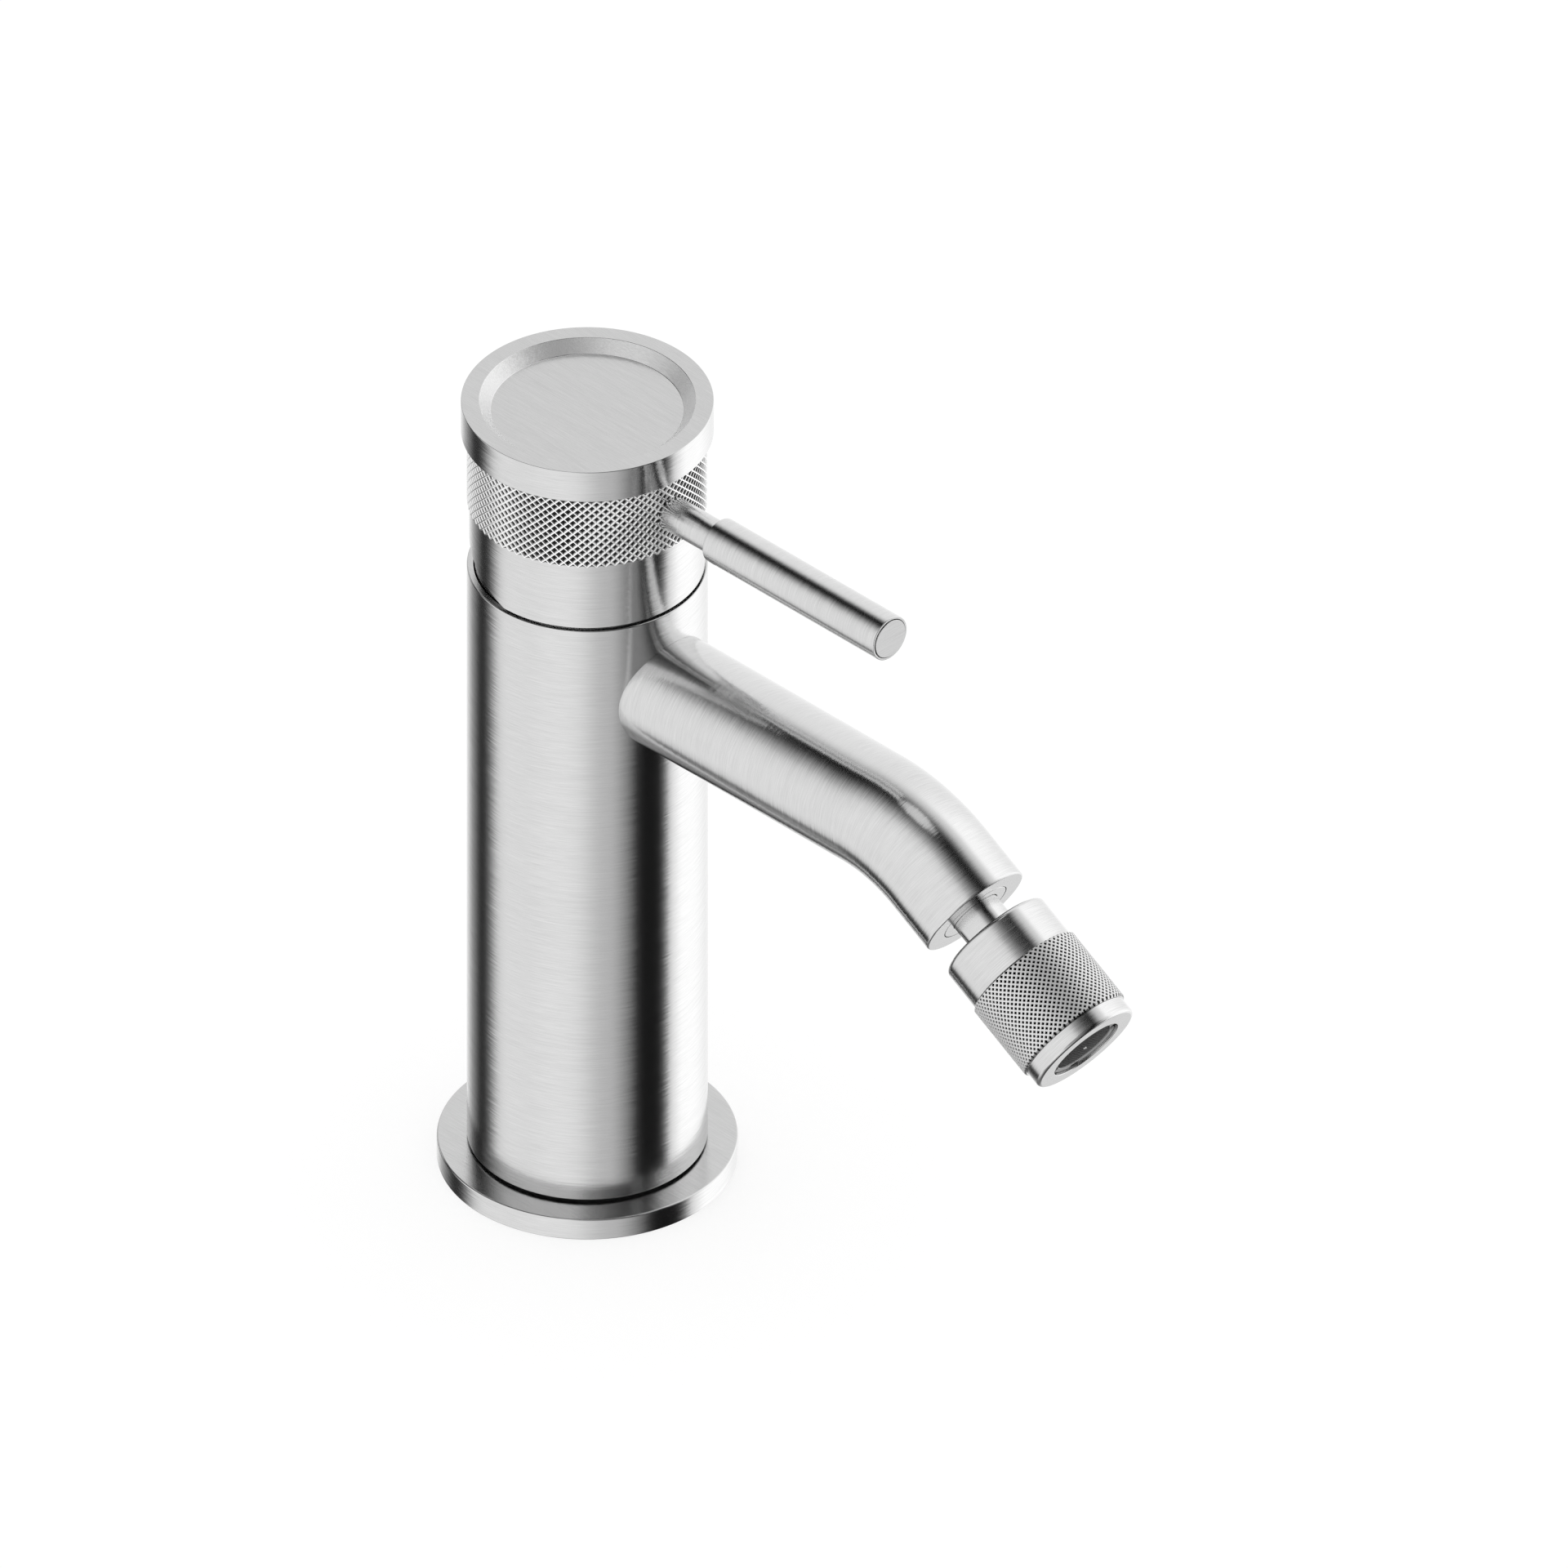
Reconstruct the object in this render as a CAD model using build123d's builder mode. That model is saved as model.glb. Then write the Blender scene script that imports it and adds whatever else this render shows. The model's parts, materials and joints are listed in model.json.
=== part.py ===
from build123d import *
from math import cos, radians, sin, sqrt, tan
import os

# Bidet mixer in brushed stainless steel. +Z is up, and the spout and the lever point along -Y.
# The origin is on the column's axis, at the underside of the base flange. Millimetres.

os.makedirs("parts", exist_ok=True)

# Gaps and overrun that all pieces share
cut_overrun = 1.0
weld_gap = 0.02
fit_gap = 0.05
running_gap = 0.08

# Column, which is as wide as the cartridge and the walls round it, and base flange with its seals
cartridge_radius = 12.5
valve_wall = 5.0
column_wall = 2.5
column_height = 115.5
column_edge = 0.2
flange_overhang = 5.0
flange_height = 4.0
flange_edge = 0.3
gasket_inset = 3.0
gasket_width = 1.8
gasket_depth = 1.2
seal_height = 0.5
seal_inset = 0.7

# Foot block with its M8 stud hole and the two M10 inlets
foot_step = 1.5
foot_height = 18.0
stud_radius = 4.0
stud_depth = 10.0
inlet_radius = 5.0
inlet_depth = 9.0
inlet_wall = 0.5

# Feed pipes, their seals and the tie rods between foot block and valve body
pipe_radius = 4.0
pipe_wall = 1.0
pipe_inset = 4.5
pipe_socket_depth = 6.0
pipe_groove_depth = 0.7
pipe_groove_width = 1.2
rod_radius = 2.0
rod_offset = 10.0
rod_thread_length = 8.0

# Valve body, measured down from its top, which is the floor of the column's collar
collar_depth = 4.0
collar_wall = 1.05
valve_length = 30.0
cup_depth = 18.0
nut_seat_depth = 6.0
nut_thread_wall = 3.0
outlet_ring_gap = 1.1
lower_land_height = 0.8
upper_land_height = 1.5

# Spout: level run, bend, and a short sloping run to the end face
spout_drop = 16.5
spout_radius = 10.0
spout_wall = 1.5
spout_level_length = 67.0
spout_bend_radius = 31.5
spout_bend_angle = 30.0
spout_end_length = 9.6
spout_end_wall = 3.0

# Nipple that joins the valve body to the spout
nipple_wall = 3.7
nipple_spigot_wall = 1.2
nipple_seat_depth = 2.85
nipple_reach = 14.0
nipple_groove_setback = 3.2
nipple_groove_width = 1.8
nipple_groove_depth = 1.1

# Insert in the spout's end, and the ball stem that it carries
insert_wall = 2.0
insert_flange_height = 2.0
insert_groove_gap = 0.12
ball_stem_radius = 4.4
ball_stem_head_overhang = 1.5
ball_stem_head_length = 1.5
ball_bore_radius = 2.5
ball_radius = 7.0
stem_groove_setback = 1.8
stem_groove_width = 1.6
stem_groove_depth = 0.9

# Cartridge: base, discs, housing and nut
cartridge_base_height = 2.6
cartridge_port_radius = 2.6
cartridge_channel_width = 6.0
cartridge_channel_depth = 1.4
port_seal_height = 1.0
port_seal_width = 1.3
disc_thickness = 2.7
disc_port_radius = 2.2
disc_port_shift = 0.8
disc_outlet_radius = 3.0
moving_disc_inset = 0.3
moving_disc_rim = 3.5
moving_disc_cavity_depth = 1.6
housing_wall = 1.2
housing_rise = 2.5
housing_roof = 2.5
housing_flange_reach = 2.0
housing_flange_height = 2.0
housing_groove_width = 1.0
housing_groove_depth = 0.6
housing_groove_drop = 0.2
nut_head_height = 3.0
nut_head_wall = 1.5

# Stem carrier, its pin and the holder of the moving disc
pivot_rise = 2.0
carrier_roof_reach = 1.5
carrier_head_height = 4.0
carrier_flange_gap = 0.2
carrier_flange_height = 3.4
carrier_slot_wall = 2.8
carrier_lug_width = 8.0
lug_side_gap = 0.3
lug_floor_gap = 1.6
pin_radius = 1.5
pin_setback = 0.5
holder_side_gap = 0.86
holder_top_gap = 0.6
holder_floor = 0.6
finger_arm = 12.5
finger_radius = 2.6
finger_neck_radius = 1.6
finger_gap = 0.15
lever_lift_angle = 20.0

# Square stem and the screw that holds the handle on it
stem_width = 7.9
stem_side_gap = 0.15
stem_tail = 6.0
screw_radius = 2.5
screw_length = 12.0
screw_head_radius = 4.5
screw_head_height = 2.8
screw_socket_width = 4.0
screw_socket_depth = 1.6
screw_end_gap = 0.4
stem_end_gap = 0.2

# Dome cover, and the handle that turns and tilts over it
dome_wall = 0.8
dome_rise = 10.0
dome_side_gap = 0.2
dome_cavity_gap = 0.25
handle_gap = 0.5
skirt_setback = 0.4
skirt_height = 12.5
relief_angle = 21.0
ring_wall = 3.5
boss_radius = 7.5
boss_rise = 9.0
web_height = 2.0

# Cap disc with its dished top
cap_overhang = 1.0
cap_height = 6.0
cap_edge = 0.25
cap_rim_width = 3.0
cap_dish_depth = 2.0
spigot_radius = 8.0
spigot_gap = 0.4
spigot_length = 2.8
cap_groove_width = 1.2
cap_groove_depth = 1.0
cap_groove_drop = 0.8

# Lever
neck_radius = 2.95
neck_length = 11.0
neck_socket_gap = 0.3
neck_socket_depth = 1.2
stud_radius_step = 0.45
stud_end_wall = 3.4
grip_radius = 4.0
grip_length = 40.0
grip_edge = 0.3
grip_stud_radius = 2.0
grip_stud_length = 7.0
plug_rim = 0.6
plug_gap = 0.15
plug_length = 1.6
plug_setback = 0.05

# Nozzle, in distances along its axis
nozzle_gap = 5.0
ball_set_in = 5.0
nozzle_plain_length = 8.0
nozzle_rim = 0.8
throat_hold = 0.65
mouth_flare = 0.25
core_step = 1.4
sleeve_step = 0.5
sleeve_length = 14.0
sleeve_edge = 0.3
end_ring_length = 3.0
end_ring_edge = 0.6
end_ring_lip = 1.0
outlet_radius = 6.6
seat_lead = 2.5
seat_length = 4.5
seat_bore_radius = 4.5
ball_seal_width = 2.0
ball_seal_wall = 2.0
washer_height = 1.0
washer_wall = 1.8
aerator_window_rim = 0.85
aerator_plate_height = 2.0
aerator_hole_radius = 0.8
aerator_hole_circle = 3.4
aerator_hole_count = 6
aerator_front_depth = 0.9
screen_height = 0.4
key_slot_width = 1.6
key_slot_depth = 0.6

# Main radii that follow from the values above
column_radius = cartridge_radius + valve_wall + column_wall
column_bore = column_radius - column_wall
collar_bore = column_radius - collar_wall
dome_radius = collar_bore - dome_side_gap
cavity_radius = dome_radius + dome_cavity_gap

# Heights that follow
column_bottom = flange_height + seal_height
column_top = column_bottom + column_height
valve_top = column_top - collar_depth
valve_bottom = valve_top - valve_length
valve_seat = valve_top - cup_depth
valve_ledge = valve_top - nut_seat_depth
outlet_ring_bottom = valve_seat + lower_land_height
outlet_ring_top = valve_ledge - upper_land_height
spout_height = column_top - spout_drop
disc_floor = valve_seat + cartridge_base_height
slide_floor = disc_floor + disc_thickness
holder_bottom = slide_floor + disc_thickness
housing_top = valve_top + housing_rise
housing_roof_bottom = housing_top - housing_roof
carrier_flange_top = housing_roof_bottom - running_gap
carrier_bottom = carrier_flange_top - carrier_flange_height
holder_top = carrier_bottom - holder_top_gap
lug_bottom = holder_bottom + lug_floor_gap
pivot_height = column_top + pivot_rise
carrier_top = pivot_height + carrier_head_height
finger_height = pivot_height - finger_arm
stem_shoulder = pivot_height - stem_tail
boss_bottom = pivot_height + boss_rise
web_top = pivot_height + cavity_radius
socket_top = web_top - web_height
stem_top = socket_top - stem_end_gap
skirt_bottom = column_top + handle_gap
skirt_top = skirt_bottom + skirt_height
spigot_bottom = web_top + screw_head_height + spigot_gap
ring_top = spigot_bottom + spigot_length
cap_top = ring_top + cap_height
lever_height = (skirt_top + ring_top) / 2

# Other radii and lengths that follow
flange_radius = column_radius + flange_overhang
gasket_radius = flange_radius - gasket_inset
inner_radius = column_bore - fit_gap
foot_neck_radius = column_bore - foot_step
inlet_offset = foot_neck_radius - inlet_wall - inlet_radius
pipe_offset = cartridge_radius - pipe_inset
disc_port_offset = pipe_offset - disc_port_shift
pipe_bore = pipe_radius - pipe_wall
spout_bore = spout_radius - spout_wall
cup_radius = cartridge_radius + fit_gap
outlet_ring_radius = cartridge_radius + outlet_ring_gap
nipple_radius = spout_bore - fit_gap
nipple_bore_radius = spout_bore - nipple_wall
nipple_spigot_radius = nipple_bore_radius + nipple_spigot_wall
nipple_start = inner_radius - nipple_seat_depth
nipple_end = column_radius + nipple_reach
nut_thread_radius = cartridge_radius + nut_thread_wall
housing_bore = cartridge_radius - housing_wall
housing_flange_radius = cartridge_radius + housing_flange_reach
carrier_flange_radius = housing_bore - carrier_flange_gap
carrier_radius = housing_bore - carrier_roof_reach
carrier_slot_depth = 2 * (carrier_radius - carrier_slot_wall)
neck_bore = carrier_radius + running_gap
pin_length = 2 * (carrier_radius - pin_setback)
disc_travel = finger_arm * sin(radians(lever_lift_angle))
disc_centre = disc_travel / 2
holder_radius = housing_bore - disc_centre - holder_side_gap
moving_disc_radius = holder_radius - moving_disc_inset
slot_width = stem_width + 2 * stem_side_gap
skirt_radius = column_radius - skirt_setback
ring_radius = column_radius
ring_bore = ring_radius - ring_wall
hub_radius = ring_bore - fit_gap
cap_radius = ring_radius + cap_overhang
cap_dish_radius = cap_radius - cap_rim_width
dish_floor_radius = cap_dish_radius - cap_dish_depth
neck_socket_radius = neck_radius + neck_socket_gap
stud_end_radius = neck_radius - stud_radius_step
neck_start = ring_radius - neck_socket_depth
stud_end = spigot_radius + stud_end_wall
grip_start = ring_radius + neck_length
grip_end = grip_start + grip_length
plug_radius = grip_radius - plug_rim

# Sizes and distances along the nozzle's axis, from the spout's end face
insert_radius = ball_stem_radius + insert_wall
insert_length = spout_end_wall + insert_flange_height
ball_stem_head_radius = ball_stem_radius + ball_stem_head_overhang
nozzle_radius = spout_radius
sleeve_radius = nozzle_radius + sleeve_step
core_radius = nozzle_radius - core_step
socket_radius = ball_radius + running_gap
packing_radius = socket_radius - fit_gap
nozzle_throat_radius = ball_radius - throat_hold
nozzle_mouth_radius = nozzle_throat_radius + mouth_flare
ball_distance = nozzle_gap + ball_set_in
sleeve_start = nozzle_gap + nozzle_plain_length
sleeve_end = sleeve_start + sleeve_length
nozzle_end = sleeve_end + end_ring_length
core_end = nozzle_end - end_ring_lip
seat_start = ball_distance + seat_lead
seat_end = seat_start + seat_length
ball_seal_end = seat_end + ball_seal_width
aerator_start = ball_seal_end + washer_height
aerator_window_radius = outlet_radius - aerator_window_rim
spout_slope = radians(spout_bend_angle)
spout_end_reach = (
    spout_level_length + spout_bend_radius * sin(spout_slope) + spout_end_length * cos(spout_slope)
)
spout_end_height = (
    spout_height - spout_bend_radius * (1 - cos(spout_slope)) - spout_end_length * sin(spout_slope)
)
spout_end = (0, -spout_end_reach, spout_end_height)

# Directions, axes and the planes that profiles are drawn on: x is a radius, y a distance along the axis
forward = (0, -1, 0)
across = (1, 0, 0)
downward = (0, 0, -1)
pivot_centre = (0, 0, pivot_height)
nozzle_axis = Axis(spout_end, (0, -cos(spout_slope), -sin(spout_slope)))
nozzle_plane = Plane(origin=spout_end, x_dir=across, z_dir=(0, sin(spout_slope), -cos(spout_slope)))
nipple_axis = Axis((0, 0, spout_height), forward)
nipple_plane = Plane(origin=(0, 0, spout_height), x_dir=across, z_dir=downward)
lever_axis = Axis((0, 0, lever_height), forward)
lever_plane = Plane(origin=(0, 0, lever_height), x_dir=across, z_dir=downward)


def outline(points, plane=Plane.XZ):
    # A closed outline of straight sides, as (radius, height) on an upright plane
    with BuildSketch(plane) as flat:
        with BuildLine():
            Polyline(*points, close=True)
        make_face()
    return flat.sketch


def band(inner, outer, low, high, plane=Plane.XZ):
    # The outline of a plain ring: two radii and two heights
    return outline([(inner, low), (outer, low), (outer, high), (inner, high)], plane)


def disc(radius, place, facing=(0, 0, 1)):
    # A round outline at a place, square to a direction
    with BuildSketch(Plane(origin=place, z_dir=facing)) as flat:
        Circle(radius)
    return flat.sketch


def spout_path(end_length):
    # The spout's centre line: level, bent down, then straight for a given length
    with BuildLine(Plane.YZ) as path:
        level = Line((0, spout_height), (-spout_level_length, spout_height))
        bend = JernArc(level @ 1, level % 1, spout_bend_radius, spout_bend_angle)
        PolarLine(bend @ 1, end_length, direction=bend % 1)
    return path.line


# Base flange, with a groove underneath for its gasket
with BuildPart() as base_flange:
    revolve(band(foot_neck_radius + fit_gap, flange_radius, 0, flange_height), axis=Axis.Z)
    rims = base_flange.edges().filter_by(GeomType.CIRCLE).group_by(Axis.Z)[-1]
    fillet(rims.sort_by(SortBy.RADIUS)[-1], flange_edge)
    gasket_inner = gasket_radius - gasket_width / 2
    gasket_outer = gasket_radius + gasket_width / 2
    groove = band(gasket_inner - fit_gap, gasket_outer + fit_gap, 0, gasket_depth)
    revolve(groove, axis=Axis.Z, mode=Mode.SUBTRACT)
base_flange.part.label = "base_flange"
export_step(base_flange.part, "parts/base_flange.step")

with BuildPart() as base_gasket:
    revolve(band(gasket_inner, gasket_outer, 0, gasket_depth), axis=Axis.Z)
base_gasket.part.label = "base_gasket"
export_step(base_gasket.part, "parts/base_gasket.step")

# Flat seal between flange and column
with BuildPart() as column_seal:
    seal_outer = column_radius - seal_inset
    revolve(band(foot_neck_radius + fit_gap, seal_outer, flange_height, column_bottom), axis=Axis.Z)
column_seal.part.label = "column_seal"
export_step(column_seal.part, "parts/column_seal.step")

# Foot block: neck through the flange, body inside the column, holes for stud, inlets, pipes and rods
with BuildPart() as foot_block:
    revolve(band(0, foot_neck_radius, 0, column_bottom), axis=Axis.Z)
    revolve(band(0, inner_radius, column_bottom, foot_height), axis=Axis.Z)
    extrude(disc(stud_radius, (0, 0, 0)), stud_depth, mode=Mode.SUBTRACT)
    socket_floor = foot_height - pipe_socket_depth
    for side in (-1, 1):
        inlet = disc(inlet_radius, (side * inlet_offset, 0, 0))
        extrude(inlet, inlet_depth, mode=Mode.SUBTRACT)
        passage = disc(pipe_bore, (side * pipe_offset, 0, inlet_depth))
        extrude(passage, foot_height - inlet_depth, mode=Mode.SUBTRACT)
        socket = disc(pipe_radius + fit_gap, (side * pipe_offset, 0, socket_floor))
        extrude(socket, pipe_socket_depth, mode=Mode.SUBTRACT)
        rod_hole = disc(rod_radius + fit_gap, (0, side * rod_offset, foot_height - rod_thread_length))
        extrude(rod_hole, rod_thread_length, mode=Mode.SUBTRACT)
foot_block.part.label = "foot_block"
export_step(foot_block.part, "parts/foot_block.step")

# Column tube: bored for the valve body, stepped at the top for the dome cover, holed for the spout
with BuildPart() as column_tube:
    revolve(band(column_bore, column_radius, column_bottom, column_top), axis=Axis.Z)
    revolve(band(0, collar_bore, valve_top, column_top), axis=Axis.Z, mode=Mode.SUBTRACT)
    rims = column_tube.edges().filter_by(GeomType.CIRCLE).group_by(Axis.Z)[-1]
    fillet(rims.sort_by(SortBy.RADIUS)[-1], column_edge)
    opening = disc(spout_bore, (0, 0, spout_height), forward)
    extrude(opening, column_radius + cut_overrun, mode=Mode.SUBTRACT)
column_tube.part.label = "column_tube"
export_step(column_tube.part, "parts/column_tube.step")

# Feed pipes, grooved near both ends for their seals
pipe_low = foot_height - pipe_socket_depth
pipe_high = valve_bottom + pipe_socket_depth
pipe_groove_heights = (foot_height - pipe_socket_depth / 2, valve_bottom + pipe_socket_depth / 2)
pipe_seal_radius = pipe_radius - pipe_groove_depth


def feed_pipe(side):
    with BuildPart() as pipe:
        extrude(disc(pipe_radius, (side * pipe_offset, 0, pipe_low)), pipe_high - pipe_low)
        for height in pipe_groove_heights:
            with BuildSketch(Plane.XY.offset(height - pipe_groove_width / 2)):
                with Locations((side * pipe_offset, 0)):
                    Circle(pipe_radius)
                    Circle(pipe_seal_radius, mode=Mode.SUBTRACT)
            extrude(amount=pipe_groove_width, mode=Mode.SUBTRACT)
        bore = disc(pipe_bore, (side * pipe_offset, 0, pipe_low))
        extrude(bore, pipe_high - pipe_low, mode=Mode.SUBTRACT)
    return pipe


for side, pipe_name in ((-1, "hot_pipe"), (1, "cold_pipe")):
    pipe = feed_pipe(side)
    pipe.part.label = pipe_name
    export_step(pipe.part, f"parts/{pipe_name}.step")

with BuildPart() as pipe_seals:
    for height in pipe_groove_heights:
        with BuildSketch(Plane.XY.offset(height - pipe_groove_width / 2)):
            with Locations((-pipe_offset, 0), (pipe_offset, 0)):
                Circle(pipe_radius)
                Circle(pipe_seal_radius, mode=Mode.SUBTRACT)
        extrude(amount=pipe_groove_width)
pipe_seals.part.label = "pipe_seals"
export_step(pipe_seals.part, "parts/pipe_seals.step")

with BuildPart() as tie_rods:
    rod_low = foot_height - rod_thread_length
    rod_high = valve_bottom + rod_thread_length
    for side in (-1, 1):
        extrude(disc(rod_radius, (0, side * rod_offset, rod_low)), rod_high - rod_low)
tie_rods.part.label = "tie_rods"
export_step(tie_rods.part, "parts/tie_rods.step")

# Valve body: cup for the cartridge, ring passage round it, feed holes below, spout seat in front
with BuildPart() as valve_body:
    revolve(band(0, inner_radius, valve_bottom, valve_top), axis=Axis.Z)
    revolve(band(0, cup_radius, valve_seat, valve_top), axis=Axis.Z, mode=Mode.SUBTRACT)
    ring_passage = band(0, outlet_ring_radius, outlet_ring_bottom, outlet_ring_top)
    revolve(ring_passage, axis=Axis.Z, mode=Mode.SUBTRACT)
    nut_seat = band(0, nut_thread_radius, valve_ledge, valve_top)
    revolve(nut_seat, axis=Axis.Z, mode=Mode.SUBTRACT)
    for side in (-1, 1):
        feed = disc(pipe_bore, (side * pipe_offset, 0, valve_bottom))
        extrude(feed, valve_seat - valve_bottom, mode=Mode.SUBTRACT)
        socket = disc(pipe_radius + fit_gap, (side * pipe_offset, 0, valve_bottom))
        extrude(socket, pipe_socket_depth, mode=Mode.SUBTRACT)
        rod_hole = disc(rod_radius + fit_gap, (0, side * rod_offset, valve_bottom))
        extrude(rod_hole, rod_thread_length, mode=Mode.SUBTRACT)
    outlet = disc(nipple_bore_radius, (0, -cup_radius, spout_height), forward)
    extrude(outlet, column_bore, mode=Mode.SUBTRACT)
    nipple_seat = disc(nipple_spigot_radius + fit_gap, (0, -nipple_start, spout_height), forward)
    extrude(nipple_seat, column_bore, mode=Mode.SUBTRACT)
valve_body.part.label = "valve_body"
export_step(valve_body.part, "parts/valve_body.step")

# Nipple from the valve body into the spout, with its seal
nipple_groove_floor = nipple_radius - nipple_groove_depth
nipple_groove_end = nipple_end - nipple_groove_setback
nipple_groove_start = nipple_groove_end - nipple_groove_width

with BuildPart() as spout_nipple:
    tube = band(nipple_bore_radius, nipple_radius, column_bore, nipple_end, nipple_plane)
    revolve(tube, axis=nipple_axis)
    spigot = band(
        nipple_bore_radius, nipple_spigot_radius, nipple_start, column_bore, nipple_plane
    )
    revolve(spigot, axis=nipple_axis)
    groove = band(
        nipple_groove_floor, spout_bore, nipple_groove_start, nipple_groove_end, nipple_plane
    )
    revolve(groove, axis=nipple_axis, mode=Mode.SUBTRACT)
spout_nipple.part.label = "spout_nipple"
export_step(spout_nipple.part, "parts/spout_nipple.step")

with BuildPart() as nipple_seal:
    ring = band(
        nipple_groove_floor, nipple_radius, nipple_groove_start, nipple_groove_end, nipple_plane
    )
    revolve(ring, axis=nipple_axis)
nipple_seal.part.label = "nipple_seal"
export_step(nipple_seal.part, "parts/nipple_seal.step")

# Spout tube: bent, hollow, its root cut to the column and its end closed round the insert
with BuildPart() as spout_tube:
    spout_root = (0, 0, spout_height)
    sweep(disc(spout_radius, spout_root, forward), path=spout_path(spout_end_length))
    hollow_length = spout_end_length - spout_end_wall
    hollow = disc(spout_bore, spout_root, forward)
    sweep(hollow, path=spout_path(hollow_length), mode=Mode.SUBTRACT)
    column_space = band(0, column_radius + weld_gap, valve_bottom, column_top)
    revolve(column_space, axis=Axis.Z, mode=Mode.SUBTRACT)
    insert_hole_radius = insert_radius + insert_groove_gap
    insert_hole = band(0, insert_hole_radius, -insert_length, cut_overrun, nozzle_plane)
    revolve(insert_hole, axis=nozzle_axis, mode=Mode.SUBTRACT)
spout_tube.part.label = "spout_tube"
export_step(spout_tube.part, "parts/spout_tube.step")

# Insert in the spout's end: a flange inside, flush outside, bored for the ball stem
with BuildPart() as spout_insert:
    stem_hole_radius = ball_stem_radius + running_gap
    revolve(band(stem_hole_radius, insert_radius, -insert_length, 0, nozzle_plane), axis=nozzle_axis)
    flange_end = -spout_end_wall
    inner_flange = band(
        insert_radius, spout_bore - fit_gap, -insert_length, flange_end, nozzle_plane
    )
    revolve(inner_flange, axis=nozzle_axis)
spout_insert.part.label = "spout_insert"
export_step(spout_insert.part, "parts/spout_insert.step")

# Ball stem: head inside the spout, neck through the insert, ball in the nozzle, bored through
with BuildPart() as ball_stem:
    head_start = -insert_length - running_gap
    revolve(
        band(0, ball_stem_head_radius, head_start - ball_stem_head_length, head_start, nozzle_plane),
        axis=nozzle_axis,
    )
    revolve(band(0, ball_stem_radius, head_start, ball_distance, nozzle_plane), axis=nozzle_axis)
    with BuildSketch(nozzle_plane):
        with Locations((0, ball_distance)):
            Circle(ball_radius)
            with Locations((-ball_radius, 0)):
                Rectangle(2 * ball_radius, 2 * ball_radius, mode=Mode.SUBTRACT)
    revolve(axis=nozzle_axis)
    stem_groove_end = -stem_groove_setback
    stem_groove_start = stem_groove_end - stem_groove_width
    stem_groove_floor = ball_stem_radius - stem_groove_depth
    groove = band(
        stem_groove_floor, stem_hole_radius, stem_groove_start, stem_groove_end, nozzle_plane
    )
    revolve(groove, axis=nozzle_axis, mode=Mode.SUBTRACT)
    bore_start = head_start - ball_stem_head_length
    bore_end = ball_distance + ball_radius
    bore = band(0, ball_bore_radius, bore_start, bore_end, nozzle_plane)
    revolve(bore, axis=nozzle_axis, mode=Mode.SUBTRACT)
ball_stem.part.label = "ball_stem"
export_step(ball_stem.part, "parts/ball_stem.step")

with BuildPart() as stem_seal:
    ring = band(
        stem_groove_floor, ball_stem_radius, stem_groove_start, stem_groove_end, nozzle_plane
    )
    revolve(ring, axis=nozzle_axis)
stem_seal.part.label = "stem_seal"
export_step(stem_seal.part, "parts/stem_seal.step")

# Cartridge base: two feed ports with seal recesses, and a cross channel that lets mixed water out
with BuildPart() as cartridge_base:
    revolve(band(0, cartridge_radius, valve_seat, disc_floor), axis=Axis.Z)
    port_places = ((-pipe_offset, 0), (pipe_offset, 0))
    port_seal_radius = cartridge_port_radius + port_seal_width
    with BuildSketch(Plane.XY.offset(valve_seat)):
        with Locations(*port_places):
            Circle(cartridge_port_radius)
    extrude(amount=cartridge_base_height, mode=Mode.SUBTRACT)
    with BuildSketch(Plane.XY.offset(valve_seat)):
        with Locations(*port_places):
            Circle(port_seal_radius + fit_gap)
    extrude(amount=port_seal_height, mode=Mode.SUBTRACT)
    with BuildSketch(Plane.XY.offset(disc_floor)):
        Rectangle(cartridge_channel_width, 2 * (cartridge_radius + cut_overrun))
    extrude(amount=-cartridge_channel_depth, mode=Mode.SUBTRACT)
cartridge_base.part.label = "cartridge_base"
export_step(cartridge_base.part, "parts/cartridge_base.step")

with BuildPart() as base_seals:
    with BuildSketch(Plane.XY.offset(valve_seat)):
        with Locations(*port_places):
            Circle(port_seal_radius)
            Circle(cartridge_port_radius, mode=Mode.SUBTRACT)
    extrude(amount=port_seal_height)
base_seals.part.label = "base_seals"
export_step(base_seals.part, "parts/base_seals.step")

# Ceramic discs: the fixed one with three ports, the moving one with a cavity under it
with BuildPart() as fixed_disc:
    revolve(band(0, housing_bore - fit_gap, disc_floor, slide_floor), axis=Axis.Z)
    with BuildSketch(Plane.XY.offset(disc_floor)):
        with Locations((-disc_port_offset, 0), (disc_port_offset, 0)):
            Circle(disc_port_radius)
        Circle(disc_outlet_radius)
    extrude(amount=disc_thickness, mode=Mode.SUBTRACT)
fixed_disc.part.label = "fixed_disc"
export_step(fixed_disc.part, "parts/fixed_disc.step")

with BuildPart() as moving_disc:
    extrude(disc(moving_disc_radius, (0, disc_centre, slide_floor)), disc_thickness)
    cavity = disc(moving_disc_radius - moving_disc_rim, (0, disc_centre, slide_floor))
    extrude(cavity, moving_disc_cavity_depth, mode=Mode.SUBTRACT)
moving_disc.part.label = "moving_disc"
export_step(moving_disc.part, "parts/moving_disc.step")

# Holder on the moving disc, with the socket that the stem's finger pushes
with BuildPart() as disc_holder:
    extrude(disc(holder_radius, (0, disc_centre, holder_bottom)), holder_top - holder_bottom)
    finger_socket = disc(finger_radius + finger_gap, (0, 0, holder_bottom + holder_floor))
    extrude(finger_socket, holder_top - holder_bottom, mode=Mode.SUBTRACT)
disc_holder.part.label = "disc_holder"
export_step(disc_holder.part, "parts/disc_holder.step")

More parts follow.
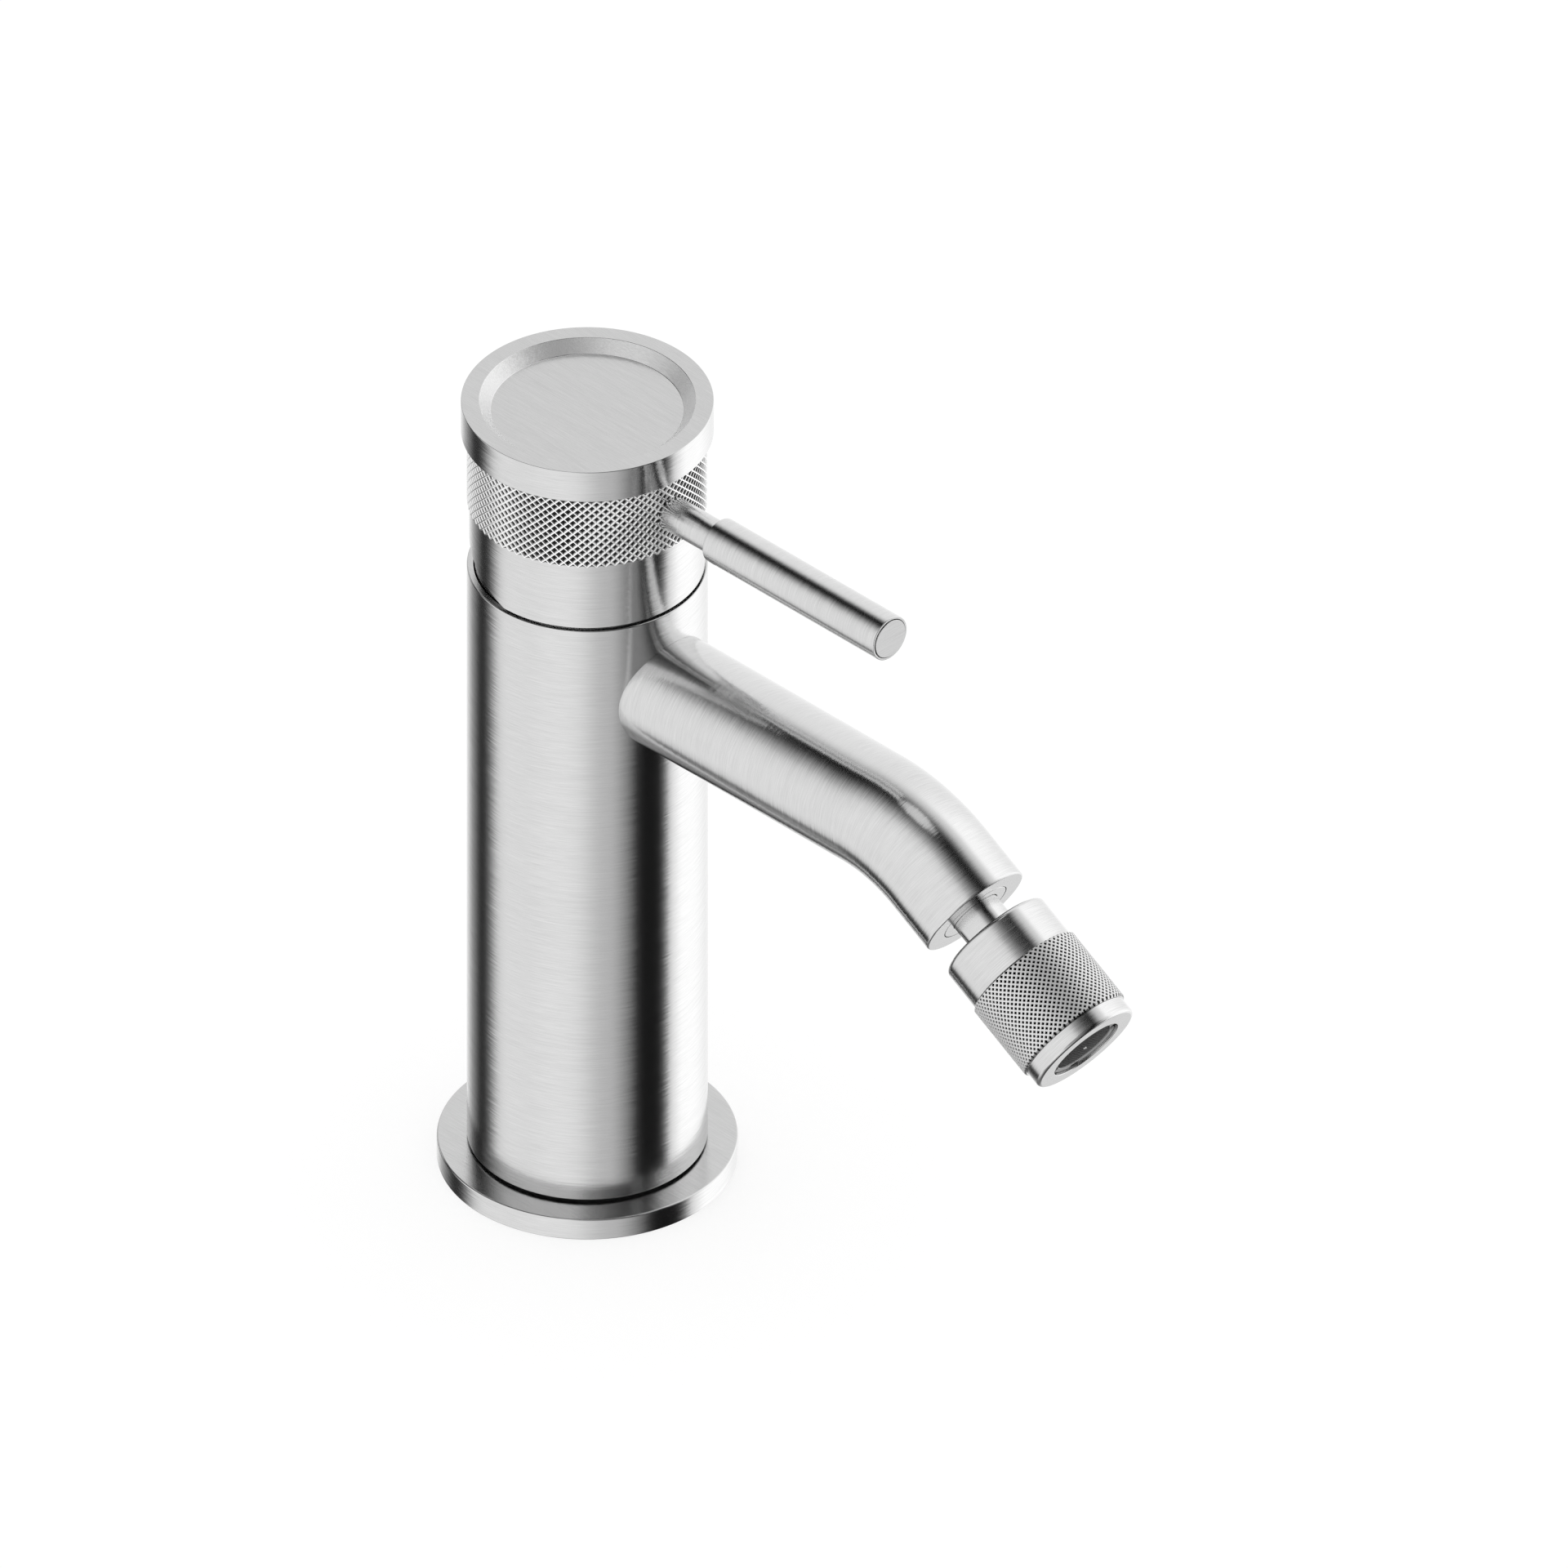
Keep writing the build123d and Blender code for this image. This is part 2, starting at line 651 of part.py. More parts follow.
# Cartridge housing: shell, roof and the flange that the nut presses on
with BuildPart() as cartridge_housing:
    revolve(band(housing_bore, cartridge_radius, disc_floor, housing_top), axis=Axis.Z)
    revolve(band(neck_bore, cartridge_radius, housing_roof_bottom, housing_top), axis=Axis.Z)
    housing_flange_top = valve_ledge + housing_flange_height
    flange = band(housing_bore, housing_flange_radius, valve_ledge, housing_flange_top)
    revolve(flange, axis=Axis.Z)
    housing_groove_top = valve_ledge - housing_groove_drop
    housing_groove_low = housing_groove_top - housing_groove_width
    housing_groove_floor = cartridge_radius - housing_groove_depth
    groove = band(housing_groove_floor, cup_radius, housing_groove_low, housing_groove_top)
    revolve(groove, axis=Axis.Z, mode=Mode.SUBTRACT)
cartridge_housing.part.label = "cartridge_housing"
export_step(cartridge_housing.part, "parts/cartridge_housing.step")

with BuildPart() as cartridge_seal:
    ring = band(housing_groove_floor, cartridge_radius, housing_groove_low, housing_groove_top)
    revolve(ring, axis=Axis.Z)
cartridge_seal.part.label = "cartridge_seal"
export_step(cartridge_seal.part, "parts/cartridge_seal.step")

with BuildPart() as cartridge_nut:
    thread_radius = nut_thread_radius - fit_gap
    revolve(band(0, thread_radius, housing_flange_top, valve_top), axis=Axis.Z)
    with BuildSketch(Plane.XY.offset(valve_top)):
        RegularPolygon(cartridge_radius + nut_head_wall, 6, major_radius=False)
    extrude(amount=nut_head_height)
    nut_top = valve_top + nut_head_height
    revolve(band(0, cup_radius, housing_flange_top, nut_top), axis=Axis.Z, mode=Mode.SUBTRACT)
cartridge_nut.part.label = "cartridge_nut"
export_step(cartridge_nut.part, "parts/cartridge_nut.step")

# Stem carrier: turns in the housing, holds the pin, and guides the disc holder between two lugs
with BuildPart() as stem_carrier:
    revolve(band(0, carrier_radius, carrier_bottom, carrier_top), axis=Axis.Z)
    revolve(band(0, carrier_flange_radius, carrier_bottom, carrier_flange_top), axis=Axis.Z)
    with BuildSketch(Plane.XY.offset(carrier_bottom)):
        Circle(carrier_flange_radius)
        Rectangle(2 * (holder_radius + lug_side_gap), 2 * carrier_flange_radius, mode=Mode.SUBTRACT)
        Rectangle(2 * carrier_flange_radius, carrier_lug_width, mode=Mode.INTERSECT)
    extrude(amount=lug_bottom - carrier_bottom)
    with BuildSketch(Plane.XY.offset(carrier_bottom)):
        Rectangle(slot_width, carrier_slot_depth)
    extrude(amount=carrier_top - carrier_bottom, mode=Mode.SUBTRACT)
    pin_hole = disc(pin_radius, (-pin_length / 2, 0, pivot_height), across)
    extrude(pin_hole, pin_length, mode=Mode.SUBTRACT)
stem_carrier.part.label = "stem_carrier"
export_step(stem_carrier.part, "parts/stem_carrier.step")

with BuildPart() as pivot_pin:
    pin_section = disc(pin_radius - weld_gap, (-pin_length / 2, 0, pivot_height), across)
    extrude(pin_section, pin_length)
pivot_pin.part.label = "pivot_pin"
export_step(pivot_pin.part, "parts/pivot_pin.step")

# Stem: ball-ended finger below the pin, square bar above it, tapped at the top
with BuildPart() as cartridge_stem:
    with Locations((0, 0, finger_height)):
        Sphere(finger_radius)
    finger_neck = disc(finger_neck_radius, (0, 0, finger_height))
    extrude(finger_neck, stem_shoulder - finger_height)
    with BuildSketch(Plane.XY.offset(stem_shoulder)):
        Rectangle(stem_width, stem_width)
    extrude(amount=stem_top - stem_shoulder)
    pin_bore = disc(pin_radius + running_gap, (-stem_width, 0, pivot_height), across)
    extrude(pin_bore, 2 * stem_width, mode=Mode.SUBTRACT)
    screw_bottom = web_top - screw_length
    tapped = disc(screw_radius + fit_gap, (0, 0, screw_bottom - screw_end_gap))
    extrude(tapped, screw_length, mode=Mode.SUBTRACT)
cartridge_stem.part.label = "cartridge_stem"
export_step(cartridge_stem.part, "parts/cartridge_stem.step")

with BuildPart() as stem_screw:
    extrude(disc(screw_radius, (0, 0, screw_bottom)), screw_length)
    extrude(disc(screw_head_radius, (0, 0, web_top)), screw_head_height)
    with BuildSketch(Plane.XY.offset(web_top + screw_head_height)):
        RegularPolygon(screw_socket_width / 2, 6, major_radius=False)
    extrude(amount=-screw_socket_depth, mode=Mode.SUBTRACT)
stem_screw.part.label = "stem_screw"
export_step(stem_screw.part, "parts/stem_screw.step")

# Dome cover: collar in the column's step, then a sphere about the pivot
with BuildPart() as dome_cover:
    dome_inner = dome_radius - dome_wall
    with BuildSketch(Plane.XZ):
        with Locations((0, pivot_height)):
            Circle(dome_radius)
            Circle(dome_inner, mode=Mode.SUBTRACT)
        with Locations((0, pivot_height)):
            Rectangle(dome_radius, dome_rise, align=(Align.MIN, Align.MIN), mode=Mode.INTERSECT)
        with Locations((dome_inner, valve_top)):
            Rectangle(dome_wall, pivot_height - valve_top, align=(Align.MIN, Align.MIN))
    revolve(axis=Axis.Z)
dome_cover.part.label = "dome_cover"
export_step(dome_cover.part, "parts/dome_cover.step")

# Handle skirt: hollowed by the same sphere, its back half relieved so that it can tilt down
with BuildPart() as handle_skirt:
    revolve(band(0, skirt_radius, skirt_bottom, skirt_top), axis=Axis.Z)
    with Locations(pivot_centre):
        Sphere(cavity_radius, mode=Mode.SUBTRACT)
    relief_reach = skirt_radius + cut_overrun
    relief_rise = relief_reach * tan(radians(relief_angle))
    with BuildSketch(Plane.YZ.offset(-relief_reach)):
        with BuildLine():
            Polyline(
                (0, skirt_bottom),
                (relief_reach, skirt_bottom + relief_rise),
                (relief_reach, skirt_bottom - cut_overrun),
                (0, skirt_bottom - cut_overrun),
                close=True,
            )
        make_face()
    extrude(amount=2 * relief_reach, mode=Mode.SUBTRACT)
handle_skirt.part.label = "handle_skirt"
export_step(handle_skirt.part, "parts/handle_skirt.step")

# Knurled ring, drilled for the lever
with BuildPart() as knurled_ring:
    revolve(band(ring_bore, ring_radius, skirt_top, ring_top), axis=Axis.Z)
    stud_hole_radius = stud_end_radius + fit_gap
    stud_hole = disc(stud_hole_radius, (0, 0, lever_height), forward)
    extrude(stud_hole, ring_radius + cut_overrun, mode=Mode.SUBTRACT)
    neck_socket = disc(neck_socket_radius, (0, -neck_start, lever_height), forward)
    extrude(neck_socket, neck_socket_depth + cut_overrun, mode=Mode.SUBTRACT)
knurled_ring.part.label = "knurled_ring"
export_step(knurled_ring.part, "parts/knurled_ring.step")

# Hub inside the handle: hollow below for the dome, with a boss that takes the square stem
with BuildPart() as handle_hub:
    revolve(band(0, hub_radius, skirt_top, ring_top), axis=Axis.Z)
    with Locations(pivot_centre):
        Sphere(cavity_radius, mode=Mode.SUBTRACT)
    revolve(band(0, boss_radius, boss_bottom, web_top), axis=Axis.Z)
    revolve(band(0, spigot_radius + fit_gap, web_top, ring_top), axis=Axis.Z, mode=Mode.SUBTRACT)
    with BuildSketch(Plane.XY.offset(boss_bottom)):
        Rectangle(stem_width + 2 * fit_gap, stem_width + 2 * fit_gap)
    extrude(amount=socket_top - boss_bottom, mode=Mode.SUBTRACT)
    screw_hole = disc(screw_radius + fit_gap, (0, 0, socket_top))
    extrude(screw_hole, web_height, mode=Mode.SUBTRACT)
    lever_hole = disc(stud_hole_radius, (0, -stud_end, lever_height), forward)
    extrude(lever_hole, ring_radius, mode=Mode.SUBTRACT)
handle_hub.part.label = "handle_hub"
export_step(handle_hub.part, "parts/handle_hub.step")

# Cap disc: dished top, spigot into the hub
with BuildPart() as cap_disc:
    cap_profile = [
        (0, ring_top),
        (cap_radius, ring_top),
        (cap_radius, cap_top),
        (cap_dish_radius, cap_top),
        (dish_floor_radius, cap_top - cap_dish_depth),
        (0, cap_top - cap_dish_depth),
    ]
    revolve(outline(cap_profile), axis=Axis.Z)
    rims = cap_disc.edges().filter_by(GeomType.CIRCLE).group_by(Axis.Z)[-1]
    fillet(rims.sort_by(SortBy.RADIUS)[-1], cap_edge)
    revolve(band(0, spigot_radius, spigot_bottom, ring_top), axis=Axis.Z)
    cap_groove_top = ring_top - cap_groove_drop
    cap_groove_low = cap_groove_top - cap_groove_width
    cap_groove_floor = spigot_radius - cap_groove_depth
    groove = band(cap_groove_floor, spigot_radius + fit_gap, cap_groove_low, cap_groove_top)
    revolve(groove, axis=Axis.Z, mode=Mode.SUBTRACT)
cap_disc.part.label = "cap_disc"
export_step(cap_disc.part, "parts/cap_disc.step")

with BuildPart() as cap_seal:
    revolve(band(cap_groove_floor, spigot_radius, cap_groove_low, cap_groove_top), axis=Axis.Z)
cap_seal.part.label = "cap_seal"
export_step(cap_seal.part, "parts/cap_seal.step")

# Lever: neck with a threaded stud at each end, grip bar, and the plug in its tip
with BuildPart() as lever_neck:
    revolve(band(0, stud_end_radius, stud_end, neck_start, lever_plane), axis=lever_axis)
    revolve(band(0, neck_radius, neck_start, grip_start, lever_plane), axis=lever_axis)
    stud_tip = grip_start + grip_stud_length
    revolve(band(0, grip_stud_radius, grip_start, stud_tip, lever_plane), axis=lever_axis)
lever_neck.part.label = "lever_neck"
export_step(lever_neck.part, "parts/lever_neck.step")

with BuildPart() as lever_grip:
    revolve(band(0, grip_radius, grip_start, grip_end, lever_plane), axis=lever_axis)
    rims = lever_grip.edges().filter_by(GeomType.CIRCLE)
    fillet(rims, grip_edge)
    grip_hole_end = stud_tip + cut_overrun
    grip_hole_radius = grip_stud_radius + fit_gap
    grip_hole = band(0, grip_hole_radius, grip_start, grip_hole_end, lever_plane)
    revolve(grip_hole, axis=lever_axis, mode=Mode.SUBTRACT)
    plug_seat = grip_end - plug_length
    tip_hole = band(0, plug_radius + plug_gap, plug_seat, grip_end, lever_plane)
    revolve(tip_hole, axis=lever_axis, mode=Mode.SUBTRACT)
lever_grip.part.label = "lever_grip"
export_step(lever_grip.part, "parts/lever_grip.step")

with BuildPart() as grip_plug:
    revolve(band(0, plug_radius, plug_seat, grip_end - plug_setback, lever_plane), axis=lever_axis)
grip_plug.part.label = "grip_plug"
export_step(grip_plug.part, "parts/grip_plug.step")

# Nozzle body: socket for the ball behind, core for sleeve and end ring in front
with BuildPart() as nozzle_body:
    revolve(band(0, nozzle_radius, nozzle_gap, sleeve_start, nozzle_plane), axis=nozzle_axis)
    rims = nozzle_body.edges().filter_by(GeomType.CIRCLE).sort_by(nozzle_axis)
    fillet(rims[0], nozzle_rim)
    revolve(band(0, core_radius, sleeve_start, core_end, nozzle_plane), axis=nozzle_axis)
    revolve(
        band(0, socket_radius, ball_distance, core_end, nozzle_plane),
        axis=nozzle_axis,
        mode=Mode.SUBTRACT,
    )
    throat_rise = sqrt(socket_radius**2 - nozzle_throat_radius**2)
    throat = ball_distance - throat_rise
    mouth = outline(
        [
            (0, nozzle_gap),
            (nozzle_mouth_radius, nozzle_gap),
            (nozzle_throat_radius, throat),
            (0, throat),
        ],
        nozzle_plane,
    )
    revolve(mouth, axis=nozzle_axis, mode=Mode.SUBTRACT)
    with BuildSketch(nozzle_plane):
        with Locations((0, ball_distance)):
            Circle(socket_radius)
            with Locations((-socket_radius, 0)):
                Rectangle(2 * socket_radius, 2 * socket_radius, mode=Mode.SUBTRACT)
    revolve(axis=nozzle_axis, mode=Mode.SUBTRACT)
nozzle_body.part.label = "nozzle_body"
export_step(nozzle_body.part, "parts/nozzle_body.step")

# Ball seat in front of the ball, hollowed by the same sphere as the socket
with BuildPart() as ball_seat:
    revolve(
        band(seat_bore_radius, packing_radius, seat_start, seat_end, nozzle_plane), axis=nozzle_axis
    )
    with BuildSketch(nozzle_plane):
        with Locations((0, ball_distance)):
            Circle(socket_radius)
            with Locations((-socket_radius, 0)):
                Rectangle(2 * socket_radius, 2 * socket_radius, mode=Mode.SUBTRACT)
    revolve(axis=nozzle_axis, mode=Mode.SUBTRACT)
ball_seat.part.label = "ball_seat"
export_step(ball_seat.part, "parts/ball_seat.step")

with BuildPart() as ball_seal:
    ball_seal_bore = packing_radius - ball_seal_wall
    ring = band(ball_seal_bore, packing_radius, seat_end, ball_seal_end, nozzle_plane)
    revolve(ring, axis=nozzle_axis)
ball_seal.part.label = "ball_seal"
export_step(ball_seal.part, "parts/ball_seal.step")

with BuildPart() as aerator_washer:
    washer_bore = packing_radius - washer_wall
    ring = band(washer_bore, packing_radius, ball_seal_end, aerator_start, nozzle_plane)
    revolve(ring, axis=nozzle_axis)
aerator_washer.part.label = "aerator_washer"
export_step(aerator_washer.part, "parts/aerator_washer.step")

# Knurled sleeve on the nozzle's core
with BuildPart() as nozzle_sleeve:
    sleeve_bore = core_radius + fit_gap
    revolve(
        band(sleeve_bore, sleeve_radius, sleeve_start, sleeve_end, nozzle_plane), axis=nozzle_axis
    )
    rims = nozzle_sleeve.edges().filter_by(GeomType.CIRCLE).sort_by(SortBy.RADIUS)
    chamfer(rims[-2:], sleeve_edge)
nozzle_sleeve.part.label = "nozzle_sleeve"
export_step(nozzle_sleeve.part, "parts/nozzle_sleeve.step")

# End ring, with the lip that holds the aerator in
with BuildPart() as nozzle_ring:
    revolve(band(0, nozzle_radius, sleeve_end, nozzle_end, nozzle_plane), axis=nozzle_axis)
    rims = nozzle_ring.edges().filter_by(GeomType.CIRCLE).sort_by(nozzle_axis)
    fillet(rims[-1], end_ring_edge)
    revolve(
        band(0, sleeve_bore, sleeve_end, core_end, nozzle_plane),
        axis=nozzle_axis,
        mode=Mode.SUBTRACT,
    )
    revolve(
        band(0, outlet_radius, core_end, nozzle_end, nozzle_plane),
        axis=nozzle_axis,
        mode=Mode.SUBTRACT,
    )
nozzle_ring.part.label = "nozzle_ring"
export_step(nozzle_ring.part, "parts/nozzle_ring.step")

# Aerator housing: pierced plate behind, window in front, two key slots in its face
with BuildPart() as aerator_housing:
    revolve(band(0, packing_radius, aerator_start, core_end, nozzle_plane), axis=nozzle_axis)
    chamber_start = aerator_start + aerator_plate_height
    screen_start = core_end - aerator_front_depth - screen_height
    revolve(
        band(0, aerator_window_radius, chamber_start, core_end, nozzle_plane),
        axis=nozzle_axis,
        mode=Mode.SUBTRACT,
    )
    plate_plane = Plane(nozzle_axis.location).offset(aerator_start)
    with BuildSketch(plate_plane):
        with PolarLocations(aerator_hole_circle, aerator_hole_count):
            Circle(aerator_hole_radius)
        Circle(aerator_hole_radius)
    extrude(amount=aerator_plate_height, mode=Mode.SUBTRACT)
    front_plane = Plane(nozzle_axis.location).offset(core_end)
    with BuildSketch(front_plane):
        Rectangle(key_slot_width, 2 * packing_radius)
        Circle(aerator_window_radius, mode=Mode.SUBTRACT)
    extrude(amount=-key_slot_depth, mode=Mode.SUBTRACT)
aerator_housing.part.label = "aerator_housing"
export_step(aerator_housing.part, "parts/aerator_housing.step")

with BuildPart() as aerator_screen:
    screen_radius = aerator_window_radius - fit_gap
    screen_end = screen_start + screen_height
    revolve(band(0, screen_radius, screen_start, screen_end, nozzle_plane), axis=nozzle_axis)
aerator_screen.part.label = "aerator_screen"
export_step(aerator_screen.part, "parts/aerator_screen.step")
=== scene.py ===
# Bidet mixer in brushed steel, dressed for its picture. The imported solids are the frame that
# every piece here sits on. Lengths in the dictionaries are in millimetres, angles in degrees.
import json
from math import atan2, cos, pi, radians, sin, sqrt, tan

import bmesh
import bpy
from mathutils import Matrix, Vector


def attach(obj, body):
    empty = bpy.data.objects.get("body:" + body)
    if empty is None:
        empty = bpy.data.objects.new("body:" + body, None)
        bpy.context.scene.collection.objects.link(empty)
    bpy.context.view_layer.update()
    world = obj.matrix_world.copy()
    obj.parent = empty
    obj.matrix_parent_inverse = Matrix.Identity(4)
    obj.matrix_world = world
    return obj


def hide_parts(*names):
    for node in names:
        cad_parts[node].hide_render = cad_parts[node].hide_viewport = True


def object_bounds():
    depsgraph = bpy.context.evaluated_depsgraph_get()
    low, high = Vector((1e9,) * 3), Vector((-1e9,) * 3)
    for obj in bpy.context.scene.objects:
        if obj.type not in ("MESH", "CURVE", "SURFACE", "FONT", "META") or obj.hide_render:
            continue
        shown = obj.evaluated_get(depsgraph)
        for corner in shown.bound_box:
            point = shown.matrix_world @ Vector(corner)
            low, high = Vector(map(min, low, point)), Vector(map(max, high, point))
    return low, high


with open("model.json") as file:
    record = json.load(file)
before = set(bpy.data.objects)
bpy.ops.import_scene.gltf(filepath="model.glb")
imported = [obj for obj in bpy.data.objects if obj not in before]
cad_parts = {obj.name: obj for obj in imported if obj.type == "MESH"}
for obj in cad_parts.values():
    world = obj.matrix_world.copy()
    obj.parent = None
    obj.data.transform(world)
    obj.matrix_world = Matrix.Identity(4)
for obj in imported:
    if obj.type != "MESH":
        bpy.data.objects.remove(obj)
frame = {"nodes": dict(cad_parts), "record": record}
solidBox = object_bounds()
print("solids loaded:", len(frame["nodes"]))

mm = 0.001

# The photo is an isometric view, so the camera has no perspective.
camera = {
    "right": (0.70711, -0.70711, 0.0),
    "up": (0.40825, 0.40825, 0.81650),
    "back": (-0.57735, -0.57735, 0.57735),
    "aimRight": 32.63,
    "aimUp": 61.19,
    "away": 1000.0,
    "frameWidth": 260.16,
}
lens = bpy.data.cameras.new("lens")
lens.type = "ORTHO"
lens.ortho_scale = camera["frameWidth"] * mm
eye = bpy.data.objects.new("camera", lens)
bpy.context.scene.collection.objects.link(eye)
towards = Matrix((camera["right"], camera["up"], camera["back"])).transposed()
aim = Vector((camera["aimRight"], camera["aimUp"], camera["away"])) * mm
eye.matrix_world = Matrix.Translation(towards @ aim) @ towards.to_4x4()
bpy.context.scene.camera = eye
bpy.context.scene.view_settings.view_transform = "Standard"
print("camera set")


class Wire:
    # one socket of a node tree; sums of wires add their nodes to the tree
    def __init__(self, tree, socket=None):
        self.tree = tree
        self.socket = socket

    def add(self, kind, settings=None, values=None, out=0):
        node = self.tree.nodes.new("ShaderNode" + kind)
        for key, value in (settings or {}).items():
            if key == "stops":
                layRamp(node, value)
            else:
                setattr(node, key, value)
        for key, value in (values or {}).items():
            if isinstance(value, Wire):
                self.tree.links.new(value.socket, node.inputs[key])
            else:
                node.inputs[key].default_value = value
        return Wire(self.tree, node.outputs[out] if len(node.outputs) else None)

    def maths(self, operation, first, second):
        return self.add("Math", {"operation": operation}, {0: first, 1: second})

    def __add__(self, other):
        return self.maths("ADD", self, other)

    def __radd__(self, other):
        return self.maths("ADD", other, self)

    def __sub__(self, other):
        return self.maths("SUBTRACT", self, other)

    def __rsub__(self, other):
        return self.maths("SUBTRACT", other, self)

    def __mul__(self, other):
        return self.maths("MULTIPLY", self, other)

    def __rmul__(self, other):
        return self.maths("MULTIPLY", other, self)

    def most(self, other):
        return self.maths("MAXIMUM", self, other)

    def least(self, other):
        return self.maths("MINIMUM", self, other)

    def stretched(self, by):
        return self.add("VectorMath", {"operation": "MULTIPLY"}, {0: self, 1: by})

    def times(self, by):
        return self.add("VectorMath", {"operation": "SCALE"}, {0: self, "Scale": by})

    def tinted(self, tone):
        # a colour, lighter or darker by this value
        return self.add("VectorMath", {"operation": "SCALE"}, {0: tone, "Scale": self})

    def plus(self, other):
        return self.add("VectorMath", {"operation": "ADD"}, {0: self, 1: other})

    def crossed(self, other):
        return self.add("VectorMath", {"operation": "CROSS_PRODUCT"}, {0: self, 1: other})

    def unit(self):
        return self.add("VectorMath", {"operation": "NORMALIZE"}, {0: self})

    def length(self):
        return self.add("VectorMath", {"operation": "LENGTH"}, {0: self}, out="Value")

    def along(self, direction):
        settings = {"operation": "DOT_PRODUCT"}
        return self.add("VectorMath", settings, {0: self, 1: direction}, out="Value")

    def noise(self, size, detail=3.0, rough=0.6):
        values = {"Vector": self.stretched(size), "Scale": 1.0, "Detail": detail}
        values["Roughness"] = rough
        return self.add("TexNoise", {"noise_dimensions": "3D"}, values, out="Fac")

    def eased(self, low, high, first=0.0, last=1.0):
        values = {"Value": self, "From Min": low, "From Max": high}
        values.update({"To Min": first, "To Max": last})
        return self.add("MapRange", {"interpolation_type": "SMOOTHSTEP"}, values)

    def curve(self, stops, low=-1.0, high=1.0):
        place = self.add("MapRange", None, {"Value": self, "From Min": low, "From Max": high})
        spread = [((at - low) / (high - low), level) for at, level in stops]
        return self.add("ValToRGB", {"stops": spread}, {"Fac": place})


def layRamp(node, stops):
    ramp = node.color_ramp
    while len(ramp.elements) > 1:
        ramp.elements.remove(ramp.elements[-1])
    ramp.elements[0].position = stops[0][0]
    for at, level in stops[1:]:
        ramp.elements.new(at)
    for element, (at, level) in zip(ramp.elements, stops):
        element.color = (level, level, level, 1.0)


def newTree(holder):
    holder.use_nodes = True
    holder.node_tree.nodes.clear()
    return Wire(holder.node_tree)


# The studio is plain white all round. Dark cloths hang over the stand as one band, and only the
# metal shows them. Each cloth lists (how far across the studio, how bright it is there), with
# white as 1. These levels were set after the stripes on the metal in the photo.
# Across, depth and height run from -1 to 1, by the way that a reflection looks.
studio = {
    "white": 1.0,
    "across": (0.978, 0.208, 0.0),
    "radius": 6000.0,
    "acrossTop": (0.978, 0.13, 0.0),
    "topCloth": [
        (-1.0, 1.08), (-0.75, 1.08), (-0.6, 0.98), (-0.5, 0.80), (-0.45, 0.64), (-0.4, 0.52),
        (-0.35, 0.42), (-0.3, 0.30), (-0.25, 0.21), (-0.19, 0.11), (-0.14, 0.06), (-0.05, 0.015),
        (0.05, 0.015), (0.11, 0.05), (0.14, 0.11), (0.19, 0.23), (0.24, 0.39), (0.3, 0.62),
        (0.35, 0.79), (0.41, 0.92), (0.5, 1.04), (0.6, 1.08), (1.0, 1.12),
    ],
    "backCloth": [
        (-1.0, 1.05), (-0.49, 1.05), (-0.39, 0.91), (-0.29, 0.48), (-0.24, 0.27), (-0.18, 0.10),
        (-0.11, 0.03), (-0.04, 0.02), (0.06, 0.04), (0.16, 0.19), (0.26, 0.33), (0.36, 0.53),
        (0.46, 0.78), (0.56, 0.98), (0.8, 1.08), (1.0, 1.12),
    ],
    "floorCloth": [
        (-1.0, 1.1), (-0.5, 1.0), (-0.32, 0.80), (-0.2, 0.55), (-0.11, 0.38), (0.0, 0.27),
        (0.1, 0.22), (0.33, 0.18), (0.45, 0.30), (0.52, 0.62), (0.59, 0.96), (0.7, 1.0),
        (1.0, 1.0),
    ],
    "frontCloth": [
        (-1.0, 1.15), (-0.8, 1.13), (-0.75, 1.06), (-0.7, 0.93), (-0.63, 0.79), (-0.55, 0.72),
        (-0.46, 0.70), (-0.35, 0.50), (-0.24, 0.28), (-0.13, 0.04), (-0.03, 0.01), (0.21, 0.01),
        (0.27, 0.06), (0.33, 0.26), (0.37, 0.62), (0.41, 0.97), (0.46, 1.12), (1.0, 1.12),
    ],
    "frontToBack": (-0.35, 0.35),  # depths where the front cloth turns into the back cloth
    "lowToHigh": (-0.3, 0.1),  # heights where these turn into the top cloth
    "floorFrom": (-0.74, -0.8),  # heights where the floor cloth takes over
    "backBend": {"below": -0.577, "across": (-0.22, -0.32), "pull": 0.42},
    "sideBox": {"across": (0.42, 0.6), "depth": (0.4, -0.25), "glow": 0.36},
    "nearShade": {"towards": (-0.413, -0.886, 0.208), "ease": (0.80, 0.95), "loss": 0.6},
    "highShade": {"towards": (-0.361, -0.578, 0.731), "ease": (0.94, 0.985), "loss": 0.7,
                  "above": (0.6, 0.68)},
    "skylight": {"ease": (0.977, 0.994), "glow": 0.85},
    "backWindow": {"towards": (0.035, 0.992, 0.122), "ease": (0.945, 0.995), "glow": 0.88},
    "frontFloor": {"depth": (0.2, -0.2), "loss": 0.7},
}
world = bpy.data.worlds.new("white studio")
bpy.context.scene.world = world
bench = newTree(world)
plainWhite = {"Color": (1.0, 1.0, 1.0, 1.0), "Strength": studio["white"]}
bench.add("OutputWorld", None, {"Surface": bench.add("Background", None, plainWhite)})
world.cycles.sampling_method = "NONE"


def newObject(name, bm):
    mesh = bpy.data.meshes.new(name)
    bm.to_mesh(mesh)
    bm.free()
    piece = bpy.data.objects.new(name, mesh)
    bpy.context.scene.collection.objects.link(piece)
    return piece


